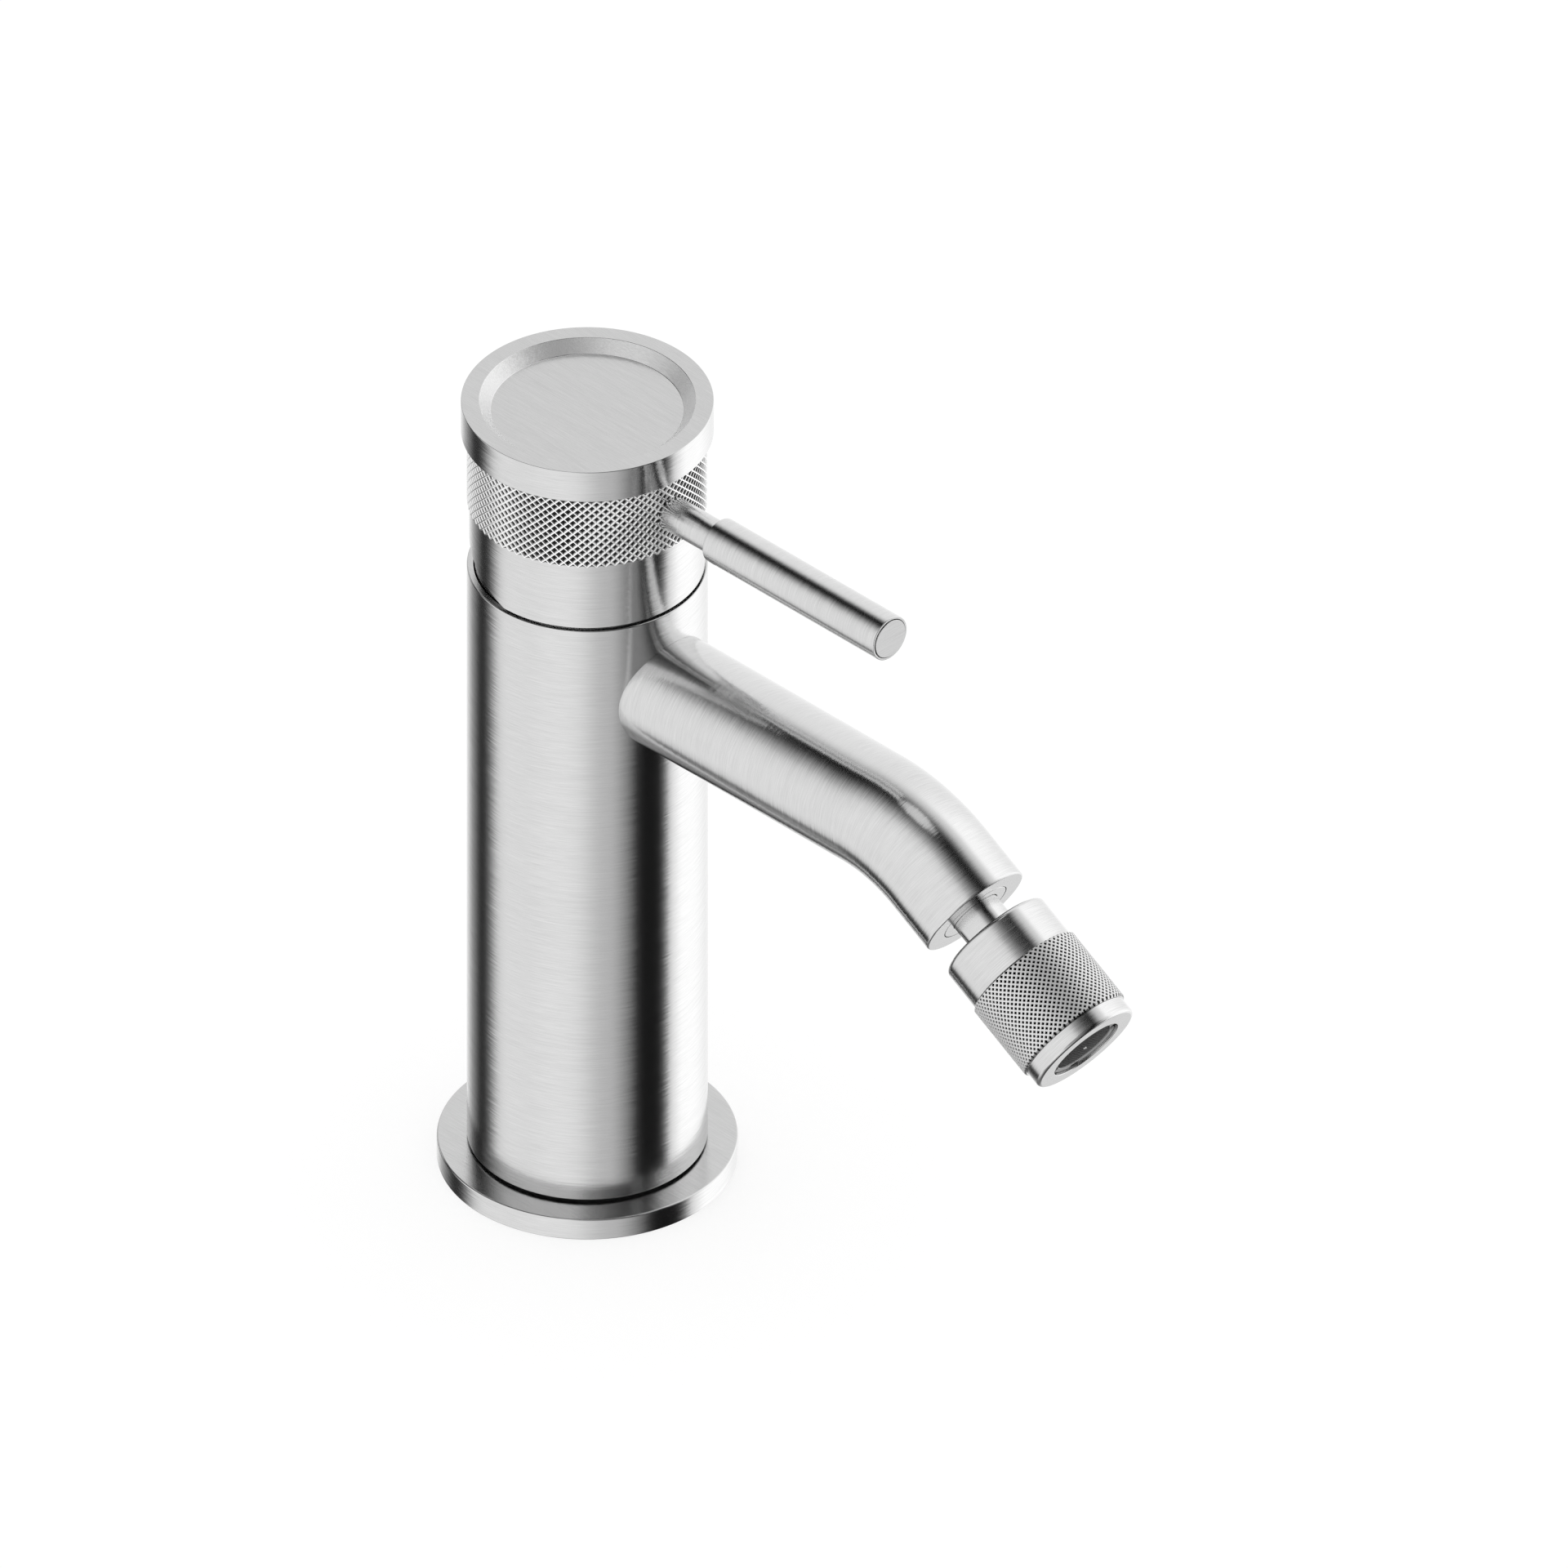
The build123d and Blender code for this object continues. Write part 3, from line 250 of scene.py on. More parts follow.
def hangCloths():
    bm = bmesh.new()
    radius = studio["radius"] * mm
    bmesh.ops.create_icosphere(bm, subdivisions=5, radius=radius)
    cloth = newObject("studioCloths", bm)
    finish = bpy.data.materials.new("studio cloth")
    bench = newTree(finish)
    spot = bench.add("NewGeometry", out="Position").unit()
    parts = bench.add("SeparateXYZ", None, {0: spot})
    depth = Wire(bench.tree, parts.socket.node.outputs["Y"])
    height = Wire(bench.tree, parts.socket.node.outputs["Z"])
    across = spot.along(studio["across"])
    behind = depth.eased(*studio["frontToBack"])
    above = height.eased(*studio["lowToHigh"])
    top = spot.along(studio["acrossTop"]).curve(studio["topCloth"])
    front = across.curve(studio["frontCloth"])
    under = across.curve(studio["floorCloth"])
    bend = studio["backBend"]
    lower = (height - bend["below"]).least(0.0) * across.eased(*bend["across"])
    back = (across + lower * bend["pull"]).curve(studio["backCloth"])
    below = front * (1 - behind) + back * behind
    seen = top * above + below * (1 - above)
    box = studio["sideBox"]
    seen = seen + across.eased(*box["across"]) * depth.eased(*box["depth"]) * box["glow"]
    near, high = studio["nearShade"], studio["highShade"]
    seen = seen * (1 - spot.along(near["towards"]).eased(*near["ease"]) * near["loss"])
    shaded = spot.along(high["towards"]).eased(*high["ease"]) * height.eased(*high["above"])
    seen = seen * (1 - shaded * high["loss"])
    sky, window = studio["skylight"], studio["backWindow"]
    seen = seen.most(height.eased(*sky["ease"]) * sky["glow"])
    seen = seen.most(spot.along(window["towards"]).eased(*window["ease"]) * window["glow"])
    frontFloor = studio["frontFloor"]
    under = under * (1 - depth.eased(*frontFloor["depth"]) * frontFloor["loss"])
    steep = height.eased(*studio["floorFrom"])
    seen = seen * (1 - steep) + under * steep
    clear = bench.add("BsdfTransparent")
    dark = bench.add("Emission", None, {"Color": (0.0, 0.0, 0.0, 1.0), "Strength": 0.0})
    hung = bench.add("MixShader", None, {0: seen.least(1.0), 1: dark, 2: clear})
    lit = bench.add("Emission", None, {"Strength": (seen - 1).most(0.0)})
    both = bench.add("AddShader", None, {0: hung, 1: lit})
    bench.add("OutputMaterial", None, {"Surface": both})
    finish.cycles.emission_sampling = "NONE"
    cloth.data.materials.append(finish)
    cloth.visible_camera = False
    cloth.visible_diffuse = False
    cloth.visible_shadow = False
    cloth.visible_transmission = False


ground = {"radius": 3000.0, "gap": 0.05, "grey": 0.3, "glow": 0.73}


def layFloor():
    # white to the eye, but it lights the stand no more than a grey floor, and metal doesn't see it
    bm = bmesh.new()
    bmesh.ops.create_circle(bm, cap_ends=True, segments=64, radius=ground["radius"] * mm)
    floor = newObject("floor", bm)
    floor.location.z = solidBox[0].z - ground["gap"] * mm
    finish = bpy.data.materials.new("white floor")
    bench = newTree(finish)
    paths = bench.add("LightPath").socket.node.outputs
    rays = ("Is Camera Ray", "Is Glossy Ray", "Is Transmission Ray")
    byCamera, byGloss, byGlass = (Wire(bench.tree, paths[name]) for name in rays)
    looked = byCamera.most(byGloss).most(byGlass)
    matt = bench.add("BsdfDiffuse", None, {"Color": (ground["grey"],) * 3 + (1.0,)})
    glow = bench.add("Emission", None, {"Strength": looked * ground["glow"]})
    both = bench.add("AddShader", None, {0: matt, 1: glow})
    bench.add("OutputMaterial", None, {"Surface": both})
    finish.cycles.emission_sampling = "NONE"
    floor.data.materials.append(finish)
    floor.visible_glossy = False


hangCloths()
layFloor()
print("studio ready")

brushedLook = {
    "tone": (0.65, 0.65, 0.65),
    "metal": 1.0,
    "roughness": 0.17,
    "streakRoughness": 0.12,  # how much rougher a light streak is
    "stretch": 0.8,  # how far highlights spread across the grain
    "streakLength": 5.0,
    "streakWidth": 0.13,
    "swing": 0.11,  # how far the surface leans along the grain
    "tilt": 0.12,  # how far it leans across the grain
    "tiltFineness": 0.6,  # against the streaks
    "contrast": 0.46,
    "cloudFineness": 0.12,  # against the streaks
    "cloudContrast": 0.06,
}
# flat faces are toned darker than the round walls: painted shade on the flat tops
faceLook = dict(brushedLook, tone=(0.55, 0.55, 0.55), roughness=0.20, stretch=0.0, swing=0.03,
                tilt=0.10, contrast=0.42)
endLook = dict(faceLook, tone=(0.6, 0.6, 0.6), tilt=0.03, swing=0.02)
# the dish's cone is toned lighter and made partly matt: painted light on the cone
coneLook = dict(faceLook, tone=(0.76, 0.76, 0.76), metal=0.75, roughness=0.45, streakLength=3.0,
                swing=0.05, tilt=0.3, contrast=0.7)
spoutLook = dict(brushedLook, roughness=0.15, stretch=0.0)
# the dome is toned darker than the other steel: painted shade in the slit under the handle's skirt
domeLook = dict(brushedLook, tone=(0.42, 0.42, 0.42), contrast=0.2, swing=0.05, tilt=0.08)
turnedLook = dict(brushedLook, roughness=0.15, contrast=0.30, swing=0.07, tilt=0.05)
# near-black steel for inner walls: painted shade
insideShadeLook = dict(brushedLook, tone=(0.16, 0.16, 0.16), roughness=0.4, stretch=0.0)
knurlLook = dict(brushedLook, roughness=0.26, stretch=0.0, contrast=0.10, swing=0.02, tilt=0.02)
sleeveLook = dict(knurlLook, roughness=0.60)
# From one distance from the axis to the other, a knurl's colour runs from painted shade in its
# pits to a painted highlight on its ridges.
ringShadeAndHighlight = {"from": 19.68, "to": 20.0, "dark": 0.05, "light": 1.50}
sleeveShadeAndHighlight = {"from": 10.26, "to": 10.48, "dark": 0.0, "light": 1.28}


def steel(name, look, grain="round", unbent=False, shadeAndHighlight=None):
    # grain: round the piece's own upright axis, or straight along its x or y
    finish = bpy.data.materials.new(name)
    bench = newTree(finish)
    if unbent:
        spot = bench.add("Attribute", {"attribute_name": "unbent"}, out="Vector")
    else:
        spot = bench.add("TexCoord", out="Object")
    long = 1 / (look["streakLength"] * mm)
    fine = 1 / (look["streakWidth"] * mm)
    combs = {
        "round": (long, long, fine),
        "alongX": (long, fine, fine),
        "alongY": (fine, long, fine),
    }
    comb = Vector(combs[grain])
    streak = spot.noise(comb, 4.0, 0.7) - 0.5
    apart = (0.37, 0.11, 0.53)  # so that tilt and streaks don't match
    lean = spot.plus(apart).noise(comb * look["tiltFineness"], 3.0, 0.6) - 0.5
    cloud = spot.noise(comb * look["cloudFineness"], 2.0) - 0.5
    normal = bench.add("NewGeometry", out="Normal")
    settings = {"vector_type": "VECTOR", "convert_from": "OBJECT", "convert_to": "WORLD"}
    xWay, yWay, zWay = (1.0, 0.0, 0.0), (0.0, 1.0, 0.0), (0.0, 0.0, 1.0)
    acrossGrain = {"round": zWay, "alongX": yWay, "alongY": xWay}[grain]
    rod = bench.add("VectorTransform", settings, {0: acrossGrain})
    if grain == "round":
        alongGrain = rod.crossed(normal)
    else:
        way = xWay if grain == "alongX" else yWay
        alongGrain = bench.add("VectorTransform", settings, {0: way})
    bent = normal.plus(rod.times(lean * look["tilt"]))
    bent = bent.plus(alongGrain.times(streak * look["swing"])).unit()
    shade = 1 + streak * look["contrast"] + cloud * look["cloudContrast"]
    # painted shade in the knurl's pits and a painted highlight on its ridges: the colour darkens
    # towards the axis
    if shadeAndHighlight:
        reach = spot.stretched((1.0, 1.0, 0.0)).length()
        low, high = shadeAndHighlight["from"] * mm, shadeAndHighlight["to"] * mm
        shade = shade * reach.eased(low, high, shadeAndHighlight["dark"], shadeAndHighlight["light"])
    values = {
        "Base Color": shade.tinted(look["tone"]),
        "Metallic": look["metal"],
        "Roughness": look["roughness"] + streak * look["streakRoughness"],
        "Anisotropic": look["stretch"],
        "Anisotropic Rotation": 0.25,  # a quarter turn: the grain runs round
        "Normal": bent,
    }
    bench.add("OutputMaterial", None, {"Surface": bench.add("BsdfPrincipled", None, values)})
    return finish


def plain(name, look):
    # turned brass, mouldings, rubber and other pieces that aren't brushed
    finish = bpy.data.materials.new(name)
    bench = newTree(finish)
    spot = bench.add("TexCoord", out="Object")
    grit = spot.noise(Vector((1, 1, 1)) / (look["grit"] * mm), 4.0)
    cloud = spot.noise(Vector((1, 1, 1)) / (look["cloud"] * mm), 2.0) - 0.5
    relief = {"Strength": look["relief"], "Distance": look["gritHeight"] * mm, "Height": grit}
    bump = bench.add("Bump", None, relief)
    shade = 1 + (grit - 0.5) * look["speckle"] + cloud * look["patch"]
    values = {
        "Base Color": shade.tinted(look["tone"]),
        "Metallic": look["metal"],
        "Roughness": look["roughness"] + (grit - 0.5) * look["gritRoughness"],
        "Specular IOR Level": look["sheen"],
        "Normal": bump,
    }
    bench.add("OutputMaterial", None, {"Surface": bench.add("BsdfPrincipled", None, values)})
    return finish


# the outlet's grey, and the near black deep in its window: painted shade
outletLook = {"from": 29.0, "to": 29.45, "dark": 0.02, "light": 0.50, "grit": 0.2, "relief": 0.3,
              "gritHeight": 0.05, "speckle": 0.12, "roughness": 0.35, "gritRoughness": 0.1}


def outletMoulding(name, look):
    # grey at its front, darker deeper down in its window and key slots: painted shade in these
    # recesses
    finish = bpy.data.materials.new(name)
    bench = newTree(finish)
    spot = bench.add("TexCoord", out="Object")
    place = bench.add("SeparateXYZ", None, {0: spot})
    height = Wire(bench.tree, place.socket.node.outputs["Z"])
    # painted shade: the grey darkens with depth
    grey = height.eased(look["from"] * mm, look["to"] * mm, look["dark"], look["light"])
    grit = spot.noise(Vector((1, 1, 1)) / (look["grit"] * mm), 4.0)
    relief = {"Strength": look["relief"], "Distance": look["gritHeight"] * mm, "Height": grit}
    values = {
        "Base Color": grey * (1 - look["speckle"] / 2 + grit * look["speckle"]),
        "Roughness": look["roughness"] + grit * look["gritRoughness"],
        "Normal": bench.add("Bump", None, relief),
    }
    bench.add("OutputMaterial", None, {"Surface": bench.add("BsdfPrincipled", None, values)})
    return finish


moulded = {"tone": (0.55, 0.56, 0.57), "metal": 0.0, "roughness": 0.45, "grit": 0.2, "cloud": 4.0,
           "relief": 0.4, "gritHeight": 0.05, "speckle": 0.10, "patch": 0.08, "sheen": 0.5,
           "gritRoughness": 0.15}
plainLooks = {
    "brass": dict(moulded, tone=(0.72, 0.56, 0.30), metal=1.0, roughness=0.32, relief=0.3),
    "copper": dict(moulded, tone=(0.72, 0.43, 0.29), metal=1.0, roughness=0.28, relief=0.3,
                   patch=0.2),
    "rubber": dict(moulded, tone=(0.02, 0.02, 0.02), roughness=0.7, speckle=0.3, sheen=0.1),
    "ceramic": dict(moulded, tone=(0.82, 0.81, 0.77), roughness=0.18, relief=0.1, speckle=0.03),
    "plastic": moulded,
    "turned_steel": dict(moulded, tone=(0.62, 0.62, 0.61), metal=1.0, roughness=0.28, relief=0.2),
    # the wires are toned near black: painted shade, as the screen lies deep in the outlet
    "steel_mesh": dict(moulded, tone=(0.10, 0.10, 0.10), metal=1.0, roughness=0.3, relief=0.5),
}
roundBrushed = steel("brushed steel round", brushedLook)
faceAlong = steel("brushed steel face", faceLook, "alongY")
faceAcross = steel("brushed steel end", endLook, "alongX")
coneAlong = steel("brushed steel cone", coneLook, "alongY")
spoutBrushed = steel("brushed steel spout", spoutLook, unbent=True)
turned = steel("turned steel", turnedLook)
domeTurned = steel("turned steel dome", domeLook)
knurled = steel("knurled steel", knurlLook, shadeAndHighlight=ringShadeAndHighlight)
knurledSleeve = steel("knurled steel sleeve", sleeveLook, shadeAndHighlight=sleeveShadeAndHighlight)
insideShade = steel("steel with painted shade", insideShadeLook)
housingFinish = outletMoulding("aerator moulding", outletLook)
plainFinishes = {slot: plain(slot.replace("_", " "), look) for slot, look in plainLooks.items()}
print("finishes mixed")


# Most pieces are turned. A profile is a list of corners (radius, height, rounding).
def rounded(profile, closed=True, arcSteps=5):
    points = []
    count = len(profile)
    for place, corner in enumerate(profile):
        here = Vector(corner[:2])
        rounding = corner[2] if len(corner) > 2 else 0.0
        ended = not closed and place in (0, count - 1)
        if rounding == 0.0 or ended:
            points.append(here)
            continue
        before = (Vector(profile[place - 1][:2]) - here).normalized()
        after = (Vector(profile[(place + 1) % count][:2]) - here).normalized()
        half = before.angle(after) / 2
        middle = here + (before + after).normalized() * (rounding / sin(half))
        start = here + before * (rounding / tan(half))
        stop = here + after * (rounding / tan(half))
        first = start - middle
        last = stop - middle
        turn = first.angle_signed(last)
        for step in range(arcSteps + 1):
            swung = first.copy()
            swung.rotate(Matrix.Rotation(-turn * step / arcSteps, 2))
            points.append(middle + swung)
    return points


def arcPoints(radius, centre, low, high, steps):
    # points on a ball's outline, from one height to another
    return [
        (sqrt(max(radius ** 2 - (height - centre) ** 2, 0.0)), height)
        for height in (low + (high - low) * step / steps for step in range(steps + 1))
    ]


def lathe(name, profile, segments=192, reshape=None):
    # reshape gives a ring's points another radius and height as it goes round
    bm = bmesh.new()
    rings = []
    for radius, height in profile:
        if radius < 1e-6:  # on the axis, so the ring is one point
            rings.append([bm.verts.new((0.0, 0.0, height * mm))] * segments)
            continue
        ring = []
        for step in range(segments):
            turn = 2 * pi * step / segments
            r, z = reshape(radius, height, turn) if reshape else (radius, height)
            ring.append(bm.verts.new((r * cos(turn) * mm, r * sin(turn) * mm, z * mm)))
        rings.append(ring)
    for place, ring in enumerate(rings):
        other = rings[(place + 1) % len(rings)]
        if ring[0] is ring[1] and other[0] is other[1]:
            continue
        for step in range(segments):
            after = (step + 1) % segments
            corners = []
            for vert in (ring[step], ring[after], other[after], other[step]):
                if vert not in corners:
                    corners.append(vert)
            bm.faces.new(corners)
    bmesh.ops.recalc_face_normals(bm, faces=bm.faces)
    return newObject(name, bm)


def smooth(piece, angle=40.0, flat=(0.0, 0.0, 1.0)):
    # flat: the way that flat ends look; they keep one even shade up to their rounded edge
    mesh = piece.data
    mesh.shade_smooth()
    mesh.set_sharp_from_angle(angle=radians(angle))
    nearlyOne = 0.9999
    for face in mesh.polygons:
        if abs(face.normal.dot(Vector(flat))) > nearlyOne:
            face.use_smooth = False
    even = piece.modifiers.new("even normals", "WEIGHTED_NORMAL")
    even.keep_sharp = True
    even.weight = 100


def paintShadeInside(piece, radius):
    # walls inside this radius get a near-black tone: painted shade where the inside lies in shadow
    piece.data.materials.append(insideShade)
    place = len(piece.data.materials) - 1
    reach = [sqrt(vert.co.x ** 2 + vert.co.y ** 2) for vert in piece.data.vertices]
    for face in piece.data.polygons:
        if max(reach[number] for number in face.vertices) < radius * mm:
            face.material_index = place


def seat(piece, body, node, finishes, at=(0.0, 0.0, 0.0), slope=None, facing=0.75):
    # finishes: the first for round walls, the second for flat ends square to the piece's axis
    # slope: how far the axis of a piece that lies forward dips; without it the piece stands
    for finish in finishes:
        piece.data.materials.append(finish)
    if len(finishes) > 1:
        for face in piece.data.polygons:
            face.material_index = 1 if abs(face.normal.z) > facing else 0
    turn = Matrix.Identity(3)
    if slope is not None:
        lean = radians(slope)
        across = Vector((1.0, 0.0, 0.0))
        up = Vector((0.0, -sin(lean), cos(lean)))
        forward = Vector((0.0, -cos(lean), -sin(lean)))
        turn = Matrix((across, up, forward)).transposed()
    piece.matrix_world = Matrix.Translation(Vector(at) * mm) @ turn.to_4x4()
    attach(piece, body)
    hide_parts(node)


flange = {"radius": 25.0, "hole": 16.05, "thick": 4.0, "edge": 0.3, "lowEdge": 0.15}
piece = lathe("base_flange_dressed", rounded([
    (flange["hole"], 0.0), (flange["radius"], 0.0, flange["lowEdge"]),
    (flange["radius"], flange["thick"], flange["edge"]), (flange["hole"], flange["thick"]),
]), segments=256)
smooth(piece)
seat(piece, "root", "base_flange", [roundBrushed, faceAlong])

column = {"radius": 20.0, "bottom": 4.5, "top": 120.0, "bore": 17.5, "collarBore": 18.95,
          "collar": 116.0, "edge": 0.2}
piece = lathe("column_dressed", rounded([
    (column["bore"], column["bottom"]), (column["radius"], column["bottom"], column["edge"]),
    (column["radius"], column["top"], column["edge"]), (column["collarBore"], column["top"]),
    (column["collarBore"], column["collar"]), (column["bore"], column["collar"]),
]), segments=256)
smooth(piece)
seat(piece, "root", "column_tube", [roundBrushed, faceAlong])
paintShadeInside(piece, column["collarBore"] + 0.01)

pivotHeight = 122.0  # the dome and the skirt's inside are balls round the handle's pivot
dome = {"radius": 18.75, "wall": 0.8, "bottom": 116.0, "top": 132.0, "steps": 14}
inside = dome["radius"] - dome["wall"]
piece = lathe("dome_dressed",
              [(dome["radius"], dome["bottom"])]
              + arcPoints(dome["radius"], pivotHeight, pivotHeight, dome["top"], dome["steps"])
              + arcPoints(inside, pivotHeight, dome["top"], pivotHeight, dome["steps"])
              + [(inside, dome["bottom"])])
smooth(piece)
seat(piece, "root", "dome_cover", [domeTurned])
print("base, column and dome turned")

skirt = {"radius": 19.6, "bottom": 120.5, "top": 133.0, "cavity": 19.0, "relief": 21.0,
         "steps": 16}


def relieved(radius, height, turn):
    # the back half of the lower edge rises, so that the handle can tip
    rise = tan(radians(skirt["relief"])) * max(sin(turn), 0.0)
    part = (skirt["top"] - height) / (skirt["top"] - skirt["bottom"])
    if radius > (skirt["radius"] + skirt["cavity"]) / 2:  # the outer wall
        return radius, height + part * rise * radius
    lip = skirt["bottom"] + rise * skirt["cavity"]
    for again in range(6):  # closes in on where the slope meets the cavity's ball
        lip = skirt["bottom"] + rise * sqrt(skirt["cavity"] ** 2 - (lip - pivotHeight) ** 2)
    lifted = height + part * (lip - skirt["bottom"])
    return sqrt(skirt["cavity"] ** 2 - (lifted - pivotHeight) ** 2), lifted


cavityLine = arcPoints(skirt["cavity"], pivotHeight, skirt["top"], skirt["bottom"], skirt["steps"])
outerLine = [(skirt["radius"], skirt["bottom"]), (skirt["radius"], skirt["top"])]
piece = lathe("handle_skirt_dressed", outerLine + cavityLine, segments=256, reshape=relieved)
smooth(piece)
seat(piece, "handle", "handle_skirt", [roundBrushed])
paintShadeInside(piece, skirt["cavity"] + 0.1)

cap = {"radius": 21.0, "bottom": 147.0, "top": 153.0, "rim": 18.0, "dish": 16.0,
       "dishFloor": 151.0, "edge": 0.12, "lowEdge": 0.15, "rimEdge": 0.15, "floorEdge": 0.2,
       "coneFacing": (0.65, 0.75)}
piece = lathe("cap_dressed", rounded([
    (0.0, cap["bottom"]), (cap["radius"], cap["bottom"], cap["lowEdge"]),
    (cap["radius"], cap["top"], cap["edge"]), (cap["rim"], cap["top"], cap["rimEdge"]),
    (cap["dish"], cap["dishFloor"], cap["floorEdge"]), (0.0, cap["dishFloor"]),
], closed=False), segments=256)
smooth(piece, angle=25.0)
seat(piece, "handle", "cap_disc", [roundBrushed, faceAlong], facing=0.9)
piece.data.materials.append(coneAlong)
least, most = cap["coneFacing"]
for face in piece.data.polygons:
    if least < face.normal.z < most and face.center.z < (cap["top"] - 0.1) * mm:
        face.material_index = 2  # the dish's cone, after the two finishes above


def knurlBand(name, band):
    # each pit is a diamond between crossing ridges: flat rim, four sloping walls, flat floor
    bm = bmesh.new()
    rise = band["rise"]
    rows = int(band["length"] / rise) + 1
    spare = 3  # half rows past each end, cut off below
    floorRadius = band["radius"] - band["depth"]

    def diamond(u, v, share, radius):
        corners = []
        for du, dv in ((0.5, 0.0), (0.0, 0.5), (-0.5, 0.0), (0.0, -0.5)):
            turn = 2 * pi * (u + du * share) / band["around"]
            height = band["start"] + (v + dv * share) * rise
            spot = (radius * cos(turn) * mm, radius * sin(turn) * mm, height * mm)
            corners.append(bm.verts.new(spot))
        return corners

    for i in range(2 * band["around"]):
        for j in range(-spare, 2 * rows + spare):
            if (i + j) % 2 == 0:  # every other place, so that the ridges cross
                continue
            lines = [
                diamond(i / 2, j / 2, 1.0, band["radius"]),
                diamond(i / 2, j / 2, 1.0 - band["ridge"], band["radius"] - band["crown"]),
                diamond(i / 2, j / 2, band["floor"], floorRadius),
            ]
            for outer, inner in zip(lines, lines[1:]):
                for side in range(4):
                    after = (side + 1) % 4
                    bm.faces.new((outer[side], outer[after], inner[after], inner[side]))
            bm.faces.new(lines[2])
    bmesh.ops.remove_doubles(bm, verts=bm.verts, dist=0.002 * mm)
    low, high = band["start"] * mm, (band["start"] + band["length"]) * mm
    chamfer = band["chamfer"] * mm

    def cutAt(height, outward, clear):
        everything = bm.verts[:] + bm.edges[:] + bm.faces[:]
        bmesh.ops.bisect_plane(bm, geom=everything, dist=1e-7, plane_co=(0, 0, height),
                               plane_no=(0, 0, outward), clear_outer=clear)

    for height, outward in ((low, -1), (high, 1)):
        cutAt(height, outward, True)
        if chamfer > 0.0:
            cutAt(height - outward * chamfer, outward, False)
    for vert in bm.verts:
        reach = sqrt(vert.co.x ** 2 + vert.co.y ** 2)
        near = min(vert.co.z - low, high - vert.co.z)
        most = band["radius"] * mm - max(chamfer - near, 0.0)
        if reach > most:
            vert.co.x *= most / reach
            vert.co.y *= most / reach
    inner = {}  # the bore's points, by turn and by end
    for edge in [e for e in bm.edges if len(e.link_faces) == 1]:
        ends = []
        for vert in edge.verts:
            key = (round(atan2(vert.co.y, vert.co.x), 5), vert.co.z > (low + high) / 2)
            if key not in inner:
                turn = atan2(vert.co.y, vert.co.x)
                bore = band["bore"] * mm
                inner[key] = bm.verts.new((bore * cos(turn), bore * sin(turn), vert.co.z))
            ends.append(inner[key])
        if ends[0] is not ends[1]:
            bm.faces.new((edge.verts[0], edge.verts[1], ends[1], ends[0]))
    turns = sorted(key[0] for key in inner if key[1])
    for here, after in zip(turns, turns[1:] + turns[:1]):
        corners = [inner.get((here, True)), inner.get((after, True)),
                   inner.get((after, False)), inner.get((here, False))]
        if None not in corners:
            bm.faces.new(corners)
    bmesh.ops.recalc_face_normals(bm, faces=bm.faces)
    made = newObject(name, bm)
    made.data.shade_smooth()
    made.data.set_sharp_from_angle(angle=radians(band["sharp"]))
    return made


def carve(piece, cutter):
    cut = piece.modifiers.new("cut", "BOOLEAN")
    cut.operation = "DIFFERENCE"
    cut.solver = "EXACT"
    cut.object = cutter
    bpy.context.view_layer.update()
    shaped = piece.evaluated_get(bpy.context.evaluated_depsgraph_get())
    mesh = bpy.data.meshes.new_from_object(shaped)
    piece.modifiers.clear()
    old = piece.data
    piece.data = mesh
    bpy.data.meshes.remove(old)
    bpy.data.objects.remove(cutter)


knurlRing = {"radius": 20.0, "bore": 16.5, "start": 133.0, "length": 14.0, "around": 80,
             "rise": 1.474, "ridge": 0.15, "crown": 0.014, "floor": 0.24, "depth": 0.38,
             "chamfer": 0.0, "sharp": 27.0}
lever = {"height": 140.0, "neck": 2.95, "socket": 3.0, "socketDepth": 1.2, "cutterEnd": 25.0,
         "neckEnd": 31.0, "grip": 4.0, "gripEnd": 71.0, "gripEdge": 0.1, "pocketDepth": 2.0,
         "plug": 3.45, "plugEdge": 0.05, "groove": 0.15, "proud": 0.14}
piece = knurlBand("knurled_ring_dressed", knurlRing)
socketStart = knurlRing["radius"] - lever["socketDepth"]
cutter = lathe("socketCutter", [
    (0.0, socketStart), (lever["socket"], socketStart),
    (lever["socket"], lever["cutterEnd"]), (0.0, lever["cutterEnd"]),
], segments=64)
cutter.matrix_world = (Matrix.Translation((0, 0, lever["height"] * mm))
                       @ Matrix.Rotation(radians(90), 4, "X"))
carve(piece, cutter)
seat(piece, "handle", "knurled_ring", [knurled, turned], facing=0.69)

leverAt = (0.0, 0.0, lever["height"])
piece = lathe("lever_neck_dressed", rounded([
    (0.0, socketStart), (lever["neck"], socketStart), (lever["neck"], lever["neckEnd"]),
    (0.0, lever["neckEnd"]),
], closed=False), segments=96)
smooth(piece)
seat(piece, "handle", "lever_neck", [roundBrushed], leverAt, 0.0)

pocket = lever["plug"] + lever["groove"]
pocketFloor = lever["gripEnd"] - lever["pocketDepth"]
piece = lathe("lever_grip_dressed", rounded([
    (0.0, lever["neckEnd"]), (lever["grip"], lever["neckEnd"], lever["gripEdge"]),
    (lever["grip"], lever["gripEnd"], lever["gripEdge"]), (pocket, lever["gripEnd"]),
    (pocket, pocketFloor), (0.0, pocketFloor),
], closed=False), segments=128)
smooth(piece)
seat(piece, "handle", "lever_grip", [roundBrushed, faceAcross], leverAt, 0.0)

plugEnd = lever["gripEnd"] + lever["proud"]
piece = lathe("grip_plug_dressed", rounded([
    (0.0, pocketFloor), (lever["plug"], pocketFloor),
    (lever["plug"], plugEnd, lever["plugEdge"]), (0.0, plugEnd),
], closed=False), segments=128)
smooth(piece)
seat(piece, "handle", "grip_plug", [turned, faceAcross], leverAt, 0.0)
print("handle turned and knurled")

